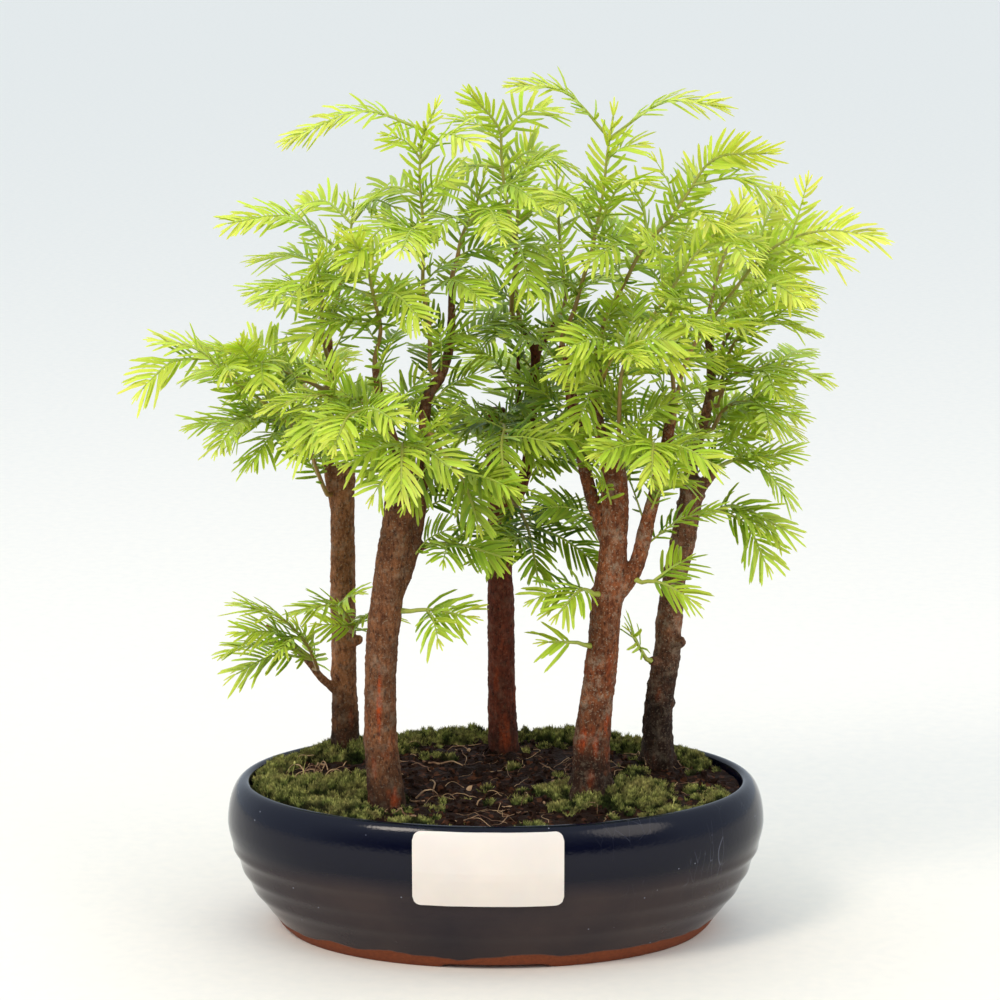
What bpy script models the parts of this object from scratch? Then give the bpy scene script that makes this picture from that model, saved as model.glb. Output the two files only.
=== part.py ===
"""Dawn redwood forest: five trunks with leafy shoots, standing in moss and soil in one oval glazed tray.

Lengths are in millimetres up to the moment a mesh is made, where MM turns them to metres.
The origin is under the middle of the whole planting, on the surface that the tray stands on.
"""

import math
import random

import bmesh
import bpy
import numpy as np
from mathutils import Vector

MM = 0.001
GAP = 0.35

# Tray: an ellipse in plan, so one radius along X and a ratio for Y
TRAY_X = -4.0
TRAY_Y = -2.4
TRAY_RATIO = 0.73
TRAY_SIDES = 36
FOOT_RADIUS = 73.0
RIM_RADIUS = 92.4
RIM_TOP = 52.0
LIP_RADIUS = 84.8
WALL_FOOT_RADIUS = 70.0
FLOOR_TOP = 6.5
RECESS_TOP = 2.5
RECESS_RADIUS = 64.0
NOTCH_HALF_WIDTH = 17.0
NOTCH_HEIGHT = 1.5
DRAIN_X = 32.0
DRAIN_RADIUS = 6.0
DRAIN_SIDES = 12
SCREEN_SIZE = 18.0
SCREEN_THICKNESS = 1.0
SCREEN_BAR = 2.4

# Paper tag on the front of the tray
TAG_X = -2.4
TAG_WIDTH = 50.0
TAG_BOTTOM = 25.4
TAG_TOP = 50.2
TAG_KNEES = (30.0, 34.5, 41.0, 46.74)
TAG_CORNER = 3.0
TAG_THICKNESS = 0.6
TAG_LIFT = 0.5

# Soil and moss
SOIL_EDGE = 48.8
SOIL_RISE_FRONT = 2.2
SOIL_RISE_BACK = 5.6
SOIL_RISE_FROM = -20.0
SOIL_RISE_OVER = 50.0
SOIL_CRUMB = 1.3
SOIL_RINGS = 5
SOIL_EDGE_CRUMB = 0.2
SOCKET_FLOOR = 40.0
SOCKET_SIDES = 8
MOSS_SOCKET_GAP = 0.5
MOSS_SIDES = 14
MOSS_SHARES = (1.0, 0.7)
MOSS_LEVELS = (0.5, 0.95)
MOSS_TOP_SHARE = 0.985
MOSS_REACH = 0.965

# Wood
TRUNK_SIDES = 8
TRUNK_STEP = 16.0
BRANCH_SIDES = 5
BRANCH_STEP = 13.0
OUT_OF_ROUND = 0.035
SHOOT_LEAVES_BY = 1.5

# Stems of the foliage
STEM_RADIUS = 0.95
RACHIS_RADIUS = 0.7
STEM_TAPER = 0.35
STEM_STEP = 3.0
BARE_STEP = 20.0
BARE_LEAST = 5.0
LEAFY_LENGTH = 43.0
SPRAY_LEAFY_SHARE = 0.8
SPRAY_RISE = 0.1
SPRAY_SWEEP = 0.08
LEAN_OUT = 0.5
LEAN_FRONT = 0.5
OUT_DISTANCE = 60.0
FACE_SHARE = 0.7
ROLL_MOST = 0.35
SHOOT_SEED = 7

# Needles: in opposite pairs along each stem, and one at its end
NEEDLE_PITCH = 11.0
NEEDLE_LENGTH = 13.0
NEEDLE_LEAST_SHARE = 0.72
NEEDLE_WIDTH = 2.2
NEEDLE_TIP_WIDTH = 1.2
NEEDLE_SET_BACK = 2.0
NEEDLE_FIRST_DEGREES = 66.0
NEEDLE_LAST_DEGREES = 42.0
NEEDLE_TILTS = (0.12, 0.4, -0.2, 0.7, -0.5)
NEEDLE_ROOT_SHARE = 0.12
END_NEEDLE_LENGTH = 7.0
END_NEEDLE_WIDTH = 1.0
NEEDLE_RADIUS = 1.0
CLEAR = 0.3
ROOM_STEP = 4.0

# Each piece of wood: rows of x, y, z and radius along its middle. The first of each tree is the trunk.
TREES = {
    "a": {
        "trunk": [(-53, 30, 40, 4.9), (-53, 30, 56, 4.8), (-53, 30, 72, 4.5), (-53.3, 30, 90, 4.4),
                  (-53.4, 30, 108, 4.3), (-53.2, 29, 126, 4.3), (-53, 28, 144, 4.3), (-52.4, 28, 156, 4.1)],
        "leader": [(-54, 28, 134, 1.9), (-56, 28, 143, 2.0), (-57.8, 27, 154, 1.9), (-57.6, 26, 169, 1.7),
                   (-57, 23, 187, 1.6), (-57.1, 20, 201, 1.4)],
        "twig": [(-53, 30, 73, 1.9), (-56, 28, 76, 1.8), (-60.6, 23, 81, 1.5), (-67.7, 16, 92, 1.2),
                 (-79, 11, 103, 0.9)],
        "knob": [(-53, 30, 91, 2.2), (-49.5, 27.5, 93.5, 2.1), (-47, 26, 94.5, 1.5)],
    },
    "b": {
        "trunk": [(-36.5, -31, 40, 6.2), (-36.5, -31, 53, 6.1), (-38.5, -31, 71, 5.7),
                  (-38.7, -31, 87, 5.4), (-38, -31, 104, 5.4), (-36.2, -31, 121, 5.4),
                  (-34.1, -31, 136, 5.4), (-32.4, -31, 148, 5.1), (-31, -31, 162, 4.6),
                  (-30.6, -31, 172, 4.2)],
        "right": [(-33, -31, 124, 2.8), (-30.1, -30, 131, 3.0), (-26.3, -28, 146, 2.7),
                  (-24.8, -26, 157, 2.5), (-23.8, -22, 173, 2.2), (-22.8, -20, 187, 2.0),
                  (-18.1, -18, 195, 1.8), (-15.1, -16, 206, 1.6), (-14.5, -14, 226, 1.3)],
        "left": [(-31.4, -30, 163, 2.2), (-32.5, -29, 170, 2.2), (-35, -26, 178, 1.8), (-38.1, -22, 187, 1.6),
                 (-40.1, -18, 198, 1.4)],
        "stub": [(-28.5, -29, 136, 1.8), (-25.5, -29.5, 138.5, 1.6), (-22.5, -30.5, 139.5, 1.2)],
    },
    "c": {
        "trunk": [(2.6, 30, 40, 5.2), (2.6, 30, 57, 5.1), (2.2, 30, 72, 4.8), (1.9, 29, 93, 4.7),
                  (1.5, 28, 122, 4.4), (1.2, 27, 144, 4.2), (0.5, 27, 161, 4.0), (-0.2, 27, 176, 3.9)],
        "branch": [(1.4, 26.6, 131, 2.1), (3.6, 26, 138, 2.3), (8.4, 26, 147.5, 2.2), (11.2, 26, 158, 2.1),
                   (12.2, 25, 172, 2.0), (13.2, 23, 186, 1.9), (13.5, 20, 197, 1.8), (10.7, 18, 203, 1.6),
                   (6.3, 15, 209, 1.4)],
        "fork": [(13.4, 20.2, 195, 1.6), (17, 25, 201, 1.5), (21.5, 30, 206, 1.3)],
        "twig": [(1.5, 26, 160, 1.3), (6.0, 22.5, 168, 1.2), (7.8, 19, 178, 1.0), (7.8, 16, 188, 0.9),
                 (7.6, 11, 197, 0.8)],
    },
    "d": {
        "trunk": [(32, -20, 40, 6.7), (32, -20, 54, 6.6), (32.2, -20, 68, 6.1), (34, -20, 84, 5.6),
                  (35.9, -20, 101, 5.3), (37.5, -20, 118, 5.3), (39.1, -20, 132, 4.8), (40.1, -19, 146, 4.6),
                  (39.7, -18, 159, 4.3), (38.9, -18, 170, 3.9)],
        "left": [(38.8, -19, 130, 2.4), (37, -18, 139, 2.6), (33.1, -15, 150, 2.5), (30.4, -12, 160, 2.3),
                 (28.4, -10, 171, 2.1), (26, -8, 183, 1.9), (23.7, -6, 196, 1.6), (22.3, -4, 203, 1.4)],
        "right": [(37, -20, 112, 2.6), (40.5, -20, 120, 2.9), (46.5, -20, 128.5, 2.8),
                  (49.1, -20, 137.5, 2.6), (51.8, -19, 149, 2.4), (54.8, -17, 161, 2.2),
                  (57.8, -15, 174, 1.9), (59.5, -12, 185.5, 1.6)],
        "up": [(39.3, -17.5, 158, 2.2), (37.7, -16, 165, 2.2), (34.4, -11, 178.5, 1.9),
               (34.1, -8, 191.6, 1.7), (35.1, -6, 205, 1.5)],
        "knot": [(34.5, -20, 85, 2.4), (31, -23.5, 84, 2.3), (29, -25, 83.6, 1.6)],
    },
    "e": {
        "trunk": [(56.5, 16, 40, 5.9), (56.5, 16, 55, 5.7), (56.3, 16, 68, 5.3), (57.8, 16, 82, 4.9),
                  (59.4, 16, 93, 4.6), (60.3, 16, 107, 4.5), (62.6, 15, 121.5, 4.4), (64.9, 15, 135.6, 4.2),
                  (66.9, 15, 146, 4.0), (67.6, 15, 154, 3.7)],
        "stub": [(67, 15, 144, 2.6), (70, 12.6, 150.5, 2.3), (74.3, 9, 156.7, 1.8)],
        "up": [(66.8, 15.5, 143, 2.1), (67.4, 16.5, 151, 2.1), (68.3, 19, 161, 1.9), (71, 20, 170.3, 1.8),
               (73.4, 21, 180, 1.7), (74, 21, 188.6, 1.6), (72.7, 20, 204.4, 1.4)],
        "knob": [(58.6, 15, 88, 2.0), (55, 10.5, 90.2, 1.9), (53.2, 8, 91, 1.4)],
        "bump": [(59.6, 16, 94, 2.4), (63, 13.5, 96, 2.3), (65, 12, 97, 1.6)],
    },
}

# Each leafy shoot: the tree and wood that it grows from, the height there (None for the wood's end),
# the middle of the shoot out to its tip, and its side sprays as the share along it and their tips.
SHOOTS = {
    "shoot_a1": ("a", "leader", 146, [(-61, 20, 154), (-64, 10, 165), (-71, -4, 177), (-78, -12, 185),
                 (-85, -18, 191), (-91, -22, 197), (-99, -26, 205), (-111, -28, 208)],
                 [(.80, (-116, -34, 193)), (.66, (-102, 6, 192)), (.5, (-84, -36, 208)),
                  (.36, (-81, -22, 166))]),
    "shoot_a2": ("a", "leader", 168, [(-62, 20, 170), (-72, 8, 174), (-83, -2, 178), (-101, -8, 176)],
                 [(.45, (-91, 22, 166)), (.55, (-92, -30, 172))]),
    "shoot_a3": ("a", "leader", 184, [(-63, 14, 187), (-71, 4, 192), (-81, -6, 198), (-97, -16, 204)],
                 [(.4, (-85, 22, 201)), (.5, (-76, -40, 195))]),
    "shoot_a4": ("a", "leader", None, [(-55, 18, 211), (-53, 16, 220), (-51, 14, 230), (-49, 14, 240),
                 (-48, 14, 249)],
                 [(.2, (-81, 2, 220)), (.42, (-80, 26, 228)), (.62, (-90, 4, 243)), (.75, (-67, 30, 246)),
                  (.85, (-34, -8, 250))]),
    "shoot_a5": ("a", "leader", 196, [(-59, 8, 208), (-58, -8, 219), (-58, -24, 229), (-58, -44, 236)],
                 [(.45, (-75, -34, 222)), (.55, (-44, -20, 232))]),
    "shoot_a6": ("a", "twig", 86, [(-62, 13, 88), (-65, 4, 98), (-74, -3, 109), (-86, -8, 114)],
                 [(.3, (-87, -5, 104)), (.2, (-92, -7, 97)), (.12, (-89, 1, 88))]),
    "shoot_a7": ("a", "trunk", 98, [(-49, 20, 98), (-52, 10, 108), (-57, 2, 112), (-66, -4, 111)],
                 [(.35, (-38, 0, 108))]),
    "shoot_a8": ("a", "leader", 176, [(-62, 36, 177), (-67, 50, 180), (-72, 64, 183), (-79, 78, 184)],
                 [(.45, (-91, 60, 175)), (.55, (-54, 80, 185))]),
    "shoot_b1": ("b", "right", 194, [(-22, -17, 212), (-24, -18, 223), (-24, -18, 233), (-24, -18, 247),
                 (-25, -18, 260), (-24, -18, 273), (-20, -18, 283)],
                 [(.88, (-67, -22, 274)), (.8, (-8, -44, 275)), (.62, (-44, -6, 251)), (.45, (-30, -60, 242)),
                  (.5, (-47, -46, 236)), (.3, (-4, -46, 224))]),
    "shoot_b2": ("b", "right", None, [(-13, -12, 232), (-11, -10, 241), (-7, -10, 249), (-4, -14, 260)],
                 [(.75, (14, -34, 254)), (.6, (2, -50, 245)), (.45, (-22, -36, 243)), (.85, (-17, -4, 258))]),
    "shoot_b3": ("b", "left", None, [(-38, -22, 211), (-40, -28, 222), (-42, -34, 233), (-46, -46, 244)],
                 [(.45, (-58, -40, 223)), (.5, (-24, -52, 218)), (.25, (-64, -30, 208))]),
    "shoot_b4": ("b", "trunk", 168, [(-30, -42, 175), (-30, -56, 178), (-30, -70, 176), (-30, -78, 167)],
                 [(.45, (-46, -64, 174)), (.5, (-14, -66, 172))]),
    "shoot_b5": ("b", "right", 176, [(-18, -28, 171), (-12, -36, 165), (-8, -42, 157), (-6, -46, 150)],
                 [(.5, (4, -50, 163))]),
    "shoot_b6": ("b", "left", 186, [(-44, -30, 188), (-53, -38, 191), (-62, -46, 192), (-74, -52, 189)],
                 [(.5, (-59, -62, 182)), (.4, (-57, -34, 202))]),
    "shoot_b7": ("b", "stub", None, [(-18, -34, 141), (-10, -38, 141), (2, -42, 138)],
                 [(.35, (-5, -26, 145))]),
    "shoot_b8": ("b", "trunk", 118, [(-25, -32, 118), (-18, -34, 118), (-10, -38, 117)], []),
    "shoot_b9": ("b", "left", 176, [(-41, -38, 184), (-45, -52, 188), (-48, -66, 188), (-51, -78, 182)],
                 [(.45, (-64, -62, 176)), (.5, (-32, -74, 189))]),
    "shoot_c1": ("c", "branch", None, [(6, 10, 221), (7, 6, 232), (5, 2, 244), (3, 0, 255), (2, -2, 265),
                 (1, -4, 276), (-8, -8, 287)],
                 [(.85, (18, 6, 281)), (.62, (-19, 14, 251)), (.7, (22, 14, 263)),
                  (.35, (11, -32, 225))]),
    "shoot_c2": ("c", "branch", 204, [(8, 24, 208), (7, 28, 219), (7, 30, 231), (8, 30, 248), (12, 32, 268)],
                 [(.8, (-9, 42, 259)), (.6, (31, 40, 247)), (.5, (18, 60, 239))]),
    "shoot_c3": ("c", "fork", None, [(24, 32, 213), (23, 36, 223), (22, 40, 236), (21, 44, 255)],
                 [(.6, (45, 54, 236)), (.25, (46, 44, 215))]),
    "shoot_c4": ("c", "trunk", 166, [(-1, 14, 170), (1, 0, 175), (3, -16, 177), (2, -34, 174), (3, -46, 163)],
                 [(.55, (32, -26, 172)), (.45, (-19, -14, 175))]),
    "shoot_c5": ("c", "branch", 168, [(17, 15, 171), (21, 8, 176), (24, 1, 178)], [(.4, (38, 14, 181))]),
    "shoot_c6": ("c", "trunk", 146, [(7, 16, 144), (10, 4, 141), (12, -10, 137), (14, -24, 128)],
                 [(.5, (35, -8, 128)), (.4, (-3, -8, 130)), (.3, (36, 6, 138))]),
    "shoot_c7": ("c", "branch", 186, [(13, 36, 184), (11, 50, 185), (9, 66, 186), (7, 82, 186)],
                 [(.5, (32, 70, 189)), (.5, (-12, 68, 184))]),
    "shoot_c8": ("c", "trunk", 162, [(-1, 40, 163), (-5, 54, 163), (-9, 70, 162)],
                 [(.4, (-23, 48, 168)), (.4, (12, 66, 163))]),
    "shoot_d1": ("d", "left", None, [(26, -6, 214), (29, -8, 225), (32, -8, 235), (34, -8, 245),
                 (36, -8, 256), (37, -8, 267), (39, -8, 280)],
                 [(.86, (7, -18, 291)), (.84, (73, -14, 284)), (.55, (47, -40, 262)), (.5, (20, -38, 254)),
                  (.42, (49, 20, 235)), (.25, (13, -30, 222))]),
    "shoot_d2": ("d", "up", None, [(38, -8, 215), (43, -12, 225), (49, -14, 237), (57, -16, 246),
                 (64, -16, 256), (69, -16, 264), (75, -16, 268), (89, -20, 269)],
                 [(.66, (94, -20, 253)), (.42, (44, -18, 259)), (.5, (71, -44, 248)), (.36, (31, -36, 235)),
                  (.56, (69, 18, 256))]),
    "shoot_d3": ("d", "trunk", 168, [(41, -26, 184), (42, -30, 199), (48, -32, 211), (56, -32, 223),
                 (64, -32, 235), (72, -32, 244), (82, -34, 251)],
                 [(.8, (82, -54, 236)), (.6, (47, -50, 244)), (.45, (66, -60, 216)), (.35, (24, -54, 210))]),
    "shoot_d4": ("d", "right", None, [(59, -10, 197), (59, -6, 207), (59, -2, 216), (61, 2, 228),
                 (65, 6, 244)],
                 [(.65, (83, 12, 238)), (.5, (43, 22, 228)), (.35, (83, -22, 211))]),
    "shoot_d5": ("d", "right", 178, [(62, -16, 194), (66, -18, 205), (73, -18, 215), (80, -20, 225),
                 (88, -22, 235), (97, -22, 241), (110, -24, 244), (124, -26, 242)],
                 [(.62, (112, -36, 235)), (.55, (94, 2, 251)), (.45, (99, -46, 224)), (.3, (55, -44, 224))]),
    "shoot_d6": ("d", "right", 162, [(53, -28, 167), (52, -42, 175), (51, -58, 178), (50, -70, 170)],
                 [(.5, (70, -56, 172)), (.45, (35, -56, 176))]),
    "shoot_d7": ("d", "up", 188, [(36, -22, 195), (38, -36, 203), (41, -52, 209), (45, -68, 207)],
                 [(.5, (60, -52, 205)), (.45, (21, -52, 201))]),
    "shoot_d8": ("d", "trunk", 121, [(32, -27, 123), (28, -34, 125), (21, -42, 119)], []),
    "shoot_d9": ("d", "trunk", 103, [(29, -25, 105), (18, -28, 106)], []),
    "shoot_d10": ("d", "right", 127, [(50, -24, 126), (56, -28, 126), (65, -30, 121)],
                  [(.4, (64, -18, 132))]),
    "shoot_e1": ("e", "up", None, [(74, 25, 214), (78, 34, 226), (83, 40, 237), (86, 45, 247)],
                 [(.6, (101, 54, 229)), (.5, (66, 54, 236)), (.4, (90, 62, 214))]),
    "shoot_e2": ("e", "up", 190, [(78, 22, 199), (85, 26, 211), (90, 28, 223), (94, 30, 236), (97, 32, 248)],
                 [(.55, (109, 34, 234)), (.42, (105, 8, 221))]),
    "shoot_e3": ("e", "up", 182, [(80, 18, 197), (86, 12, 206), (94, 10, 209), (107, 10, 205)],
                 [(.4, (102, -12, 219)), (.45, (86, -4, 219))]),
    "shoot_e4": ("e", "up", 178, [(80, 20, 188), (90, 20, 191), (101, 20, 191), (113, 20, 187)],
                 [(.55, (106, 44, 193)), (.4, (94, -4, 187))]),
    "shoot_e5": ("e", "up", 170, [(79, 18, 178), (88, 16, 180), (104, 14, 175)],
                 [(.5, (101, 40, 177)), (.4, (92, -8, 175))]),
    "shoot_e6": ("e", "stub", None, [(80, 8, 161), (88, 6, 162), (100, 4, 165)],
                 [(.4, (99, 0, 150)), (.35, (94, 26, 159))]),
    "shoot_e7": ("e", "trunk", 142, [(74, 12, 142), (82, 10, 145), (100, 6, 137)], [(.35, (92, 2, 127))]),
    "shoot_e8": ("e", "knob", None, [(50, 2, 96), (46, -5, 104)], []),
    "shoot_e9": ("e", "up", 164, [(75, 32, 171), (80, 46, 171), (85, 62, 171), (91, 78, 170)],
                 [(.45, (104, 52, 164)), (.5, (73, 72, 171))]),
    "shoot_e10": ("e", "trunk", 151, [(65, 28, 157), (62, 42, 158), (59, 58, 156), (57, 74, 152)],
                  [(.5, (77, 66, 147)), (.45, (43, 50, 158))]),
}

# Each moss cushion: middle x and y, half sizes along and across, turn in degrees, height, seed of its lobes
MOSS = {
    "moss_left": (-58, -14, 27, 19, -28, 4.6, 1),
    "moss_a": (-50, 31, 19, 13, 12, 4.0, 2),
    "moss_back": (-14, 47, 19, 9.5, -2, 3.4, 3),
    "moss_right": (36, 42, 27, 11, -14, 3.6, 4),
    "moss_d": (39, -20, 24, 15, -6, 3.6, 5),
}


def colour(hex_code):
    """The linear colour of an sRGB hex code such as 6e4a3c."""
    parts = [int(hex_code[i : i + 2], 16) / 255 for i in (0, 2, 4)]
    return [c / 12.92 if c <= 0.04045 else ((c + 0.055) / 1.055) ** 2.4 for c in parts] + [1.0]


def material(name, hex_code, roughness, metallic=0.0):
    made = bpy.data.materials.get(name)
    if made is None:
        made = bpy.data.materials.new(name)
        made.use_nodes = True
        shader = made.node_tree.nodes["Principled BSDF"]
        shader.inputs["Base Color"].default_value = colour(hex_code)
        shader.inputs["Roughness"].default_value = roughness
        shader.inputs["Metallic"].default_value = metallic
    return made


def clear_scene():
    for obj in list(bpy.data.objects):
        bpy.data.objects.remove(obj, do_unlink=True)


def add_object(name, mesh, finish, parent, sharp_degrees=40):
    """An object of the mesh, shaded smooth up to the given edge angle."""
    obj = bpy.data.objects.new(name, mesh)
    bpy.context.collection.objects.link(obj)
    obj.parent = parent
    mesh.materials.clear()
    mesh.materials.append(finish)
    mesh.shade_smooth()
    mesh.set_sharp_from_angle(angle=math.radians(sharp_degrees))
    return obj


def mesh_of(bm, name):
    """Turns a bmesh in millimetres into a mesh in metres with its faces outwards."""
    bmesh.ops.recalc_face_normals(bm, faces=bm.faces)
    bmesh.ops.scale(bm, vec=(MM, MM, MM), verts=bm.verts)
    mesh = bpy.data.meshes.new(name)
    bm.to_mesh(mesh)
    bm.free()
    return mesh


def booled(mesh, tools, operation, solver="EXACT"):
    """The mesh after one Boolean with all the tool meshes at once; the helper objects are removed again."""
    if not tools:
        return mesh
    holder = bpy.data.collections.new("tools")
    bpy.context.scene.collection.children.link(holder)
    helpers = [bpy.data.objects.new("tool", tool) for tool in tools]
    for helper in helpers:
        holder.objects.link(helper)
    body = bpy.data.objects.new("body", mesh)
    bpy.context.collection.objects.link(body)
    cut = body.modifiers.new("Boolean", "BOOLEAN")
    cut.operation = operation
    cut.solver = solver
    cut.operand_type = "COLLECTION"
    cut.collection = holder
    bpy.context.view_layer.update()
    result = bpy.data.meshes.new_from_object(body.evaluated_get(bpy.context.evaluated_depsgraph_get()))
    for helper in helpers + [body]:
        bpy.data.objects.remove(helper, do_unlink=True)
    bpy.data.collections.remove(holder)
    for used in [mesh, *tools]:
        bpy.data.meshes.remove(used)
    return result


def ring(bm, points):
    return [bm.verts.new(point) for point in points]


def bridge(bm, lower, upper):
    """Quads between two rings of the same count."""
    for i in range(len(lower)):
        j = (i + 1) % len(lower)
        bm.faces.new((lower[i], lower[j], upper[j], upper[i]))


def oval(radius, z, sides=TRAY_SIDES, inset=0.0):
    """Points round an ellipse of the tray's proportions, drawn in evenly by the inset."""
    turns = [2 * math.pi * i / sides for i in range(sides)]
    across = radius * TRAY_RATIO - inset
    return [((radius - inset) * math.cos(t), across * math.sin(t), z) for t in turns]


def arc(centre, radius, start_degrees, end_degrees, steps):
    """Points of a circular arc in the profile plane, ends included."""
    turn = (end_degrees - start_degrees) / steps
    turns = [math.radians(start_degrees + turn * i) for i in range(steps + 1)]
    return [(centre[0] + radius * math.cos(t), centre[1] + radius * math.sin(t)) for t in turns]


def body_profile():
    """Radius and height up the tray's outside, from the foot to under the rim, with its throwing ridges."""
    return [(FOOT_RADIUS, 0.0), (FOOT_RADIUS + 3.4, 4.6), (82.8, 12.6), (86.8, 19.6), (87.3, 21.0),
            (90.1, 28.0), (91.6, 34.5), (RIM_RADIUS, 41.0)]


def rim_profile():
    """The rounded rim, from outside over the top to the inner lip."""
    outer = arc((RIM_RADIUS - 8.0, RIM_TOP - 8.0), 8.0, 20, 70, 2)
    return outer + [(87.4, RIM_TOP), (85.6, RIM_TOP - 0.5), (LIP_RADIUS, RIM_TOP - 1.8)]


def inside_profile():
    """The inner wall, from the lip down to the floor."""
    return [(84.0, 45.0), (80.8, 26.0), (WALL_FOOT_RADIUS + 4.0, 10.5), (WALL_FOOT_RADIUS, FLOOR_TOP)]


def cylinder(x, y, bottom, top, radius, sides):
    bm = bmesh.new()
    turns = [2 * math.pi * i / sides for i in range(sides)]
    low = ring(bm, [(x + radius * math.cos(t), y + radius * math.sin(t), bottom) for t in turns])
    high = ring(bm, [(x + radius * math.cos(t), y + radius * math.sin(t), top) for t in turns])
    bridge(bm, low, high)
    bm.faces.new(low[::-1])
    bm.faces.new(high)
    return mesh_of(bm, "cylinder")


def block(low, high):
    bm = bmesh.new()
    bmesh.ops.create_cube(bm, size=1.0)
    middle = [(a + b) / 2 for a, b in zip(low, high)]
    bmesh.ops.scale(bm, vec=[b - a for a, b in zip(low, high)], verts=bm.verts)
    bmesh.ops.translate(bm, vec=middle, verts=bm.verts)
    return mesh_of(bm, "block")


def make_tray(parent):
    bm = bmesh.new()
    profile = body_profile() + rim_profile() + inside_profile()
    rings = [ring(bm, oval(radius, z)) for radius, z in profile]
    under = [ring(bm, oval(RECESS_RADIUS, 0.0)), ring(bm, oval(RECESS_RADIUS - 1.5, RECESS_TOP))]
    for lower, upper in zip(rings, rings[1:]):
        bridge(bm, lower, upper)
    bridge(bm, under[0], rings[0])
    bridge(bm, under[1], under[0])
    bm.faces.new(rings[-1])
    bm.faces.new(under[1][::-1])
    cuts = [cylinder(x, 0, -1, FLOOR_TOP + 1, DRAIN_RADIUS, DRAIN_SIDES) for x in (-DRAIN_X, DRAIN_X)]
    cuts.append(block((-NOTCH_HALF_WIDTH, -RIM_RADIUS, -1), (NOTCH_HALF_WIDTH, RIM_RADIUS, NOTCH_HEIGHT)))
    mesh = booled(mesh_of(bm, "pot"), cuts, "DIFFERENCE")
    return add_object("pot", mesh, material("Glazed stoneware", "1a1c30", 0.16), parent)


def outside_radius(z):
    """The tray's outer radius at a height."""
    rows = body_profile() + rim_profile()[:4]
    return float(np.interp(z, [row[1] for row in rows], [row[0] for row in rows]))


def make_tag(parent):
    """A curved strip that follows the tray's front, its corners rounded by shortening the end columns."""
    bm = bmesh.new()
    half, turn = TAG_WIDTH / 2, TAG_CORNER
    steps = [turn * (1 - math.cos(math.radians(a))) for a in (0, 45, 90)]
    drops = [turn * (1 - math.sin(math.radians(a))) for a in (0, 45, 90)]
    columns = [(-half + s, d) for s, d in zip(steps, drops)]
    columns += [(x, 0.0) for x in (-12.0, 0.0, 12.0)]
    columns += [(half - s, d) for s, d in reversed(list(zip(steps, drops)))]
    sheets = []
    for lift in (TAG_LIFT, TAG_LIFT + TAG_THICKNESS):
        sheet = []
        for x, drop in columns:
            low, high = TAG_BOTTOM + drop, TAG_TOP - drop
            sheet.append(ring(bm, [tag_point(TAG_X + x, z, lift) for z in (low, *TAG_KNEES, high)]))
        sheets.append(sheet)
    inner, outer = sheets
    last, rows = len(columns) - 1, len(TAG_KNEES) + 2
    for i in range(last):
        for j in range(rows - 1):
            bm.faces.new((outer[i][j], outer[i + 1][j], outer[i + 1][j + 1], outer[i][j + 1]))
            bm.faces.new((inner[i][j + 1], inner[i + 1][j + 1], inner[i + 1][j], inner[i][j]))
        bm.faces.new((inner[i][0], inner[i + 1][0], outer[i + 1][0], outer[i][0]))
        bm.faces.new((outer[i][-1], outer[i + 1][-1], inner[i + 1][-1], inner[i][-1]))
    for j in range(rows - 1):
        bm.faces.new((inner[0][j + 1], inner[0][j], outer[0][j], outer[0][j + 1]))
        bm.faces.new((outer[last][j + 1], outer[last][j], inner[last][j], inner[last][j + 1]))
    return add_object("pot_label", mesh_of(bm, "pot_label"), material("Paper", "f4f3f0", 0.6), parent)


def tag_point(x, z, lift):
    """A point at a height on the tray's front, raised off it by the lift."""
    radius = outside_radius(z) + lift / TRAY_RATIO
    return (x, -TRAY_RATIO * math.sqrt(radius**2 - x**2), z)


def make_screens(parent):
    """A plastic mesh square over each drain hole, with four openings."""
    finish = material("Black plastic", "1c1c1a", 0.6)
    low = FLOOR_TOP + GAP
    reach = SCREEN_SIZE / 2
    inner, outer = SCREEN_BAR / 2, reach - SCREEN_BAR
    for side, x in (("left", -DRAIN_X), ("right", DRAIN_X)):
        plate = block((x - reach, -reach, low), (x + reach, reach, low + SCREEN_THICKNESS))
        holes = []
        for i in (-1, 1):
            for j in (-1, 1):
                xs = sorted((x + i * inner, x + i * outer))
                ys = sorted((j * inner, j * outer))
                holes.append(block((xs[0], ys[0], low - 1), (xs[1], ys[1], low + SCREEN_THICKNESS + 1)))
        add_object(f"drain_screen_{side}", booled(plate, holes, "DIFFERENCE"), finish, parent)


def mound(x, y):
    """Height of the smooth soil surface: it rises inwards from the lip, and more so towards the back."""
    edge = (x / LIP_RADIUS) ** 2 + (y / (LIP_RADIUS * TRAY_RATIO)) ** 2
    back = min(1.0, max(0.0, (y - SOIL_RISE_FROM) / SOIL_RISE_OVER))
    rise = SOIL_RISE_FRONT + (SOIL_RISE_BACK - SOIL_RISE_FRONT) * back
    return SOIL_EDGE + rise * max(0.0, 1 - edge**2)


def crumb(x, y):
    """A fixed unevenness from 0 to 1 at a place on the soil."""
    wave = math.sin(0.61 * x + 1.7) * math.cos(0.53 * y) + math.sin(0.37 * x - 0.71 * y + 0.4)
    return 0.5 + 0.25 * wave


def socket(tree, grow=GAP):
    """The plain hole that a trunk stands in, as a cutter a little wider than the trunk."""
    x, y, _, radius = TREES[tree]["trunk"][0]
    wide = (radius + grow) / math.cos(math.pi / SOCKET_SIDES)
    return cylinder(x, y, SOCKET_FLOOR - GAP, RIM_TOP + 30, wide, SOCKET_SIDES)


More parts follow.
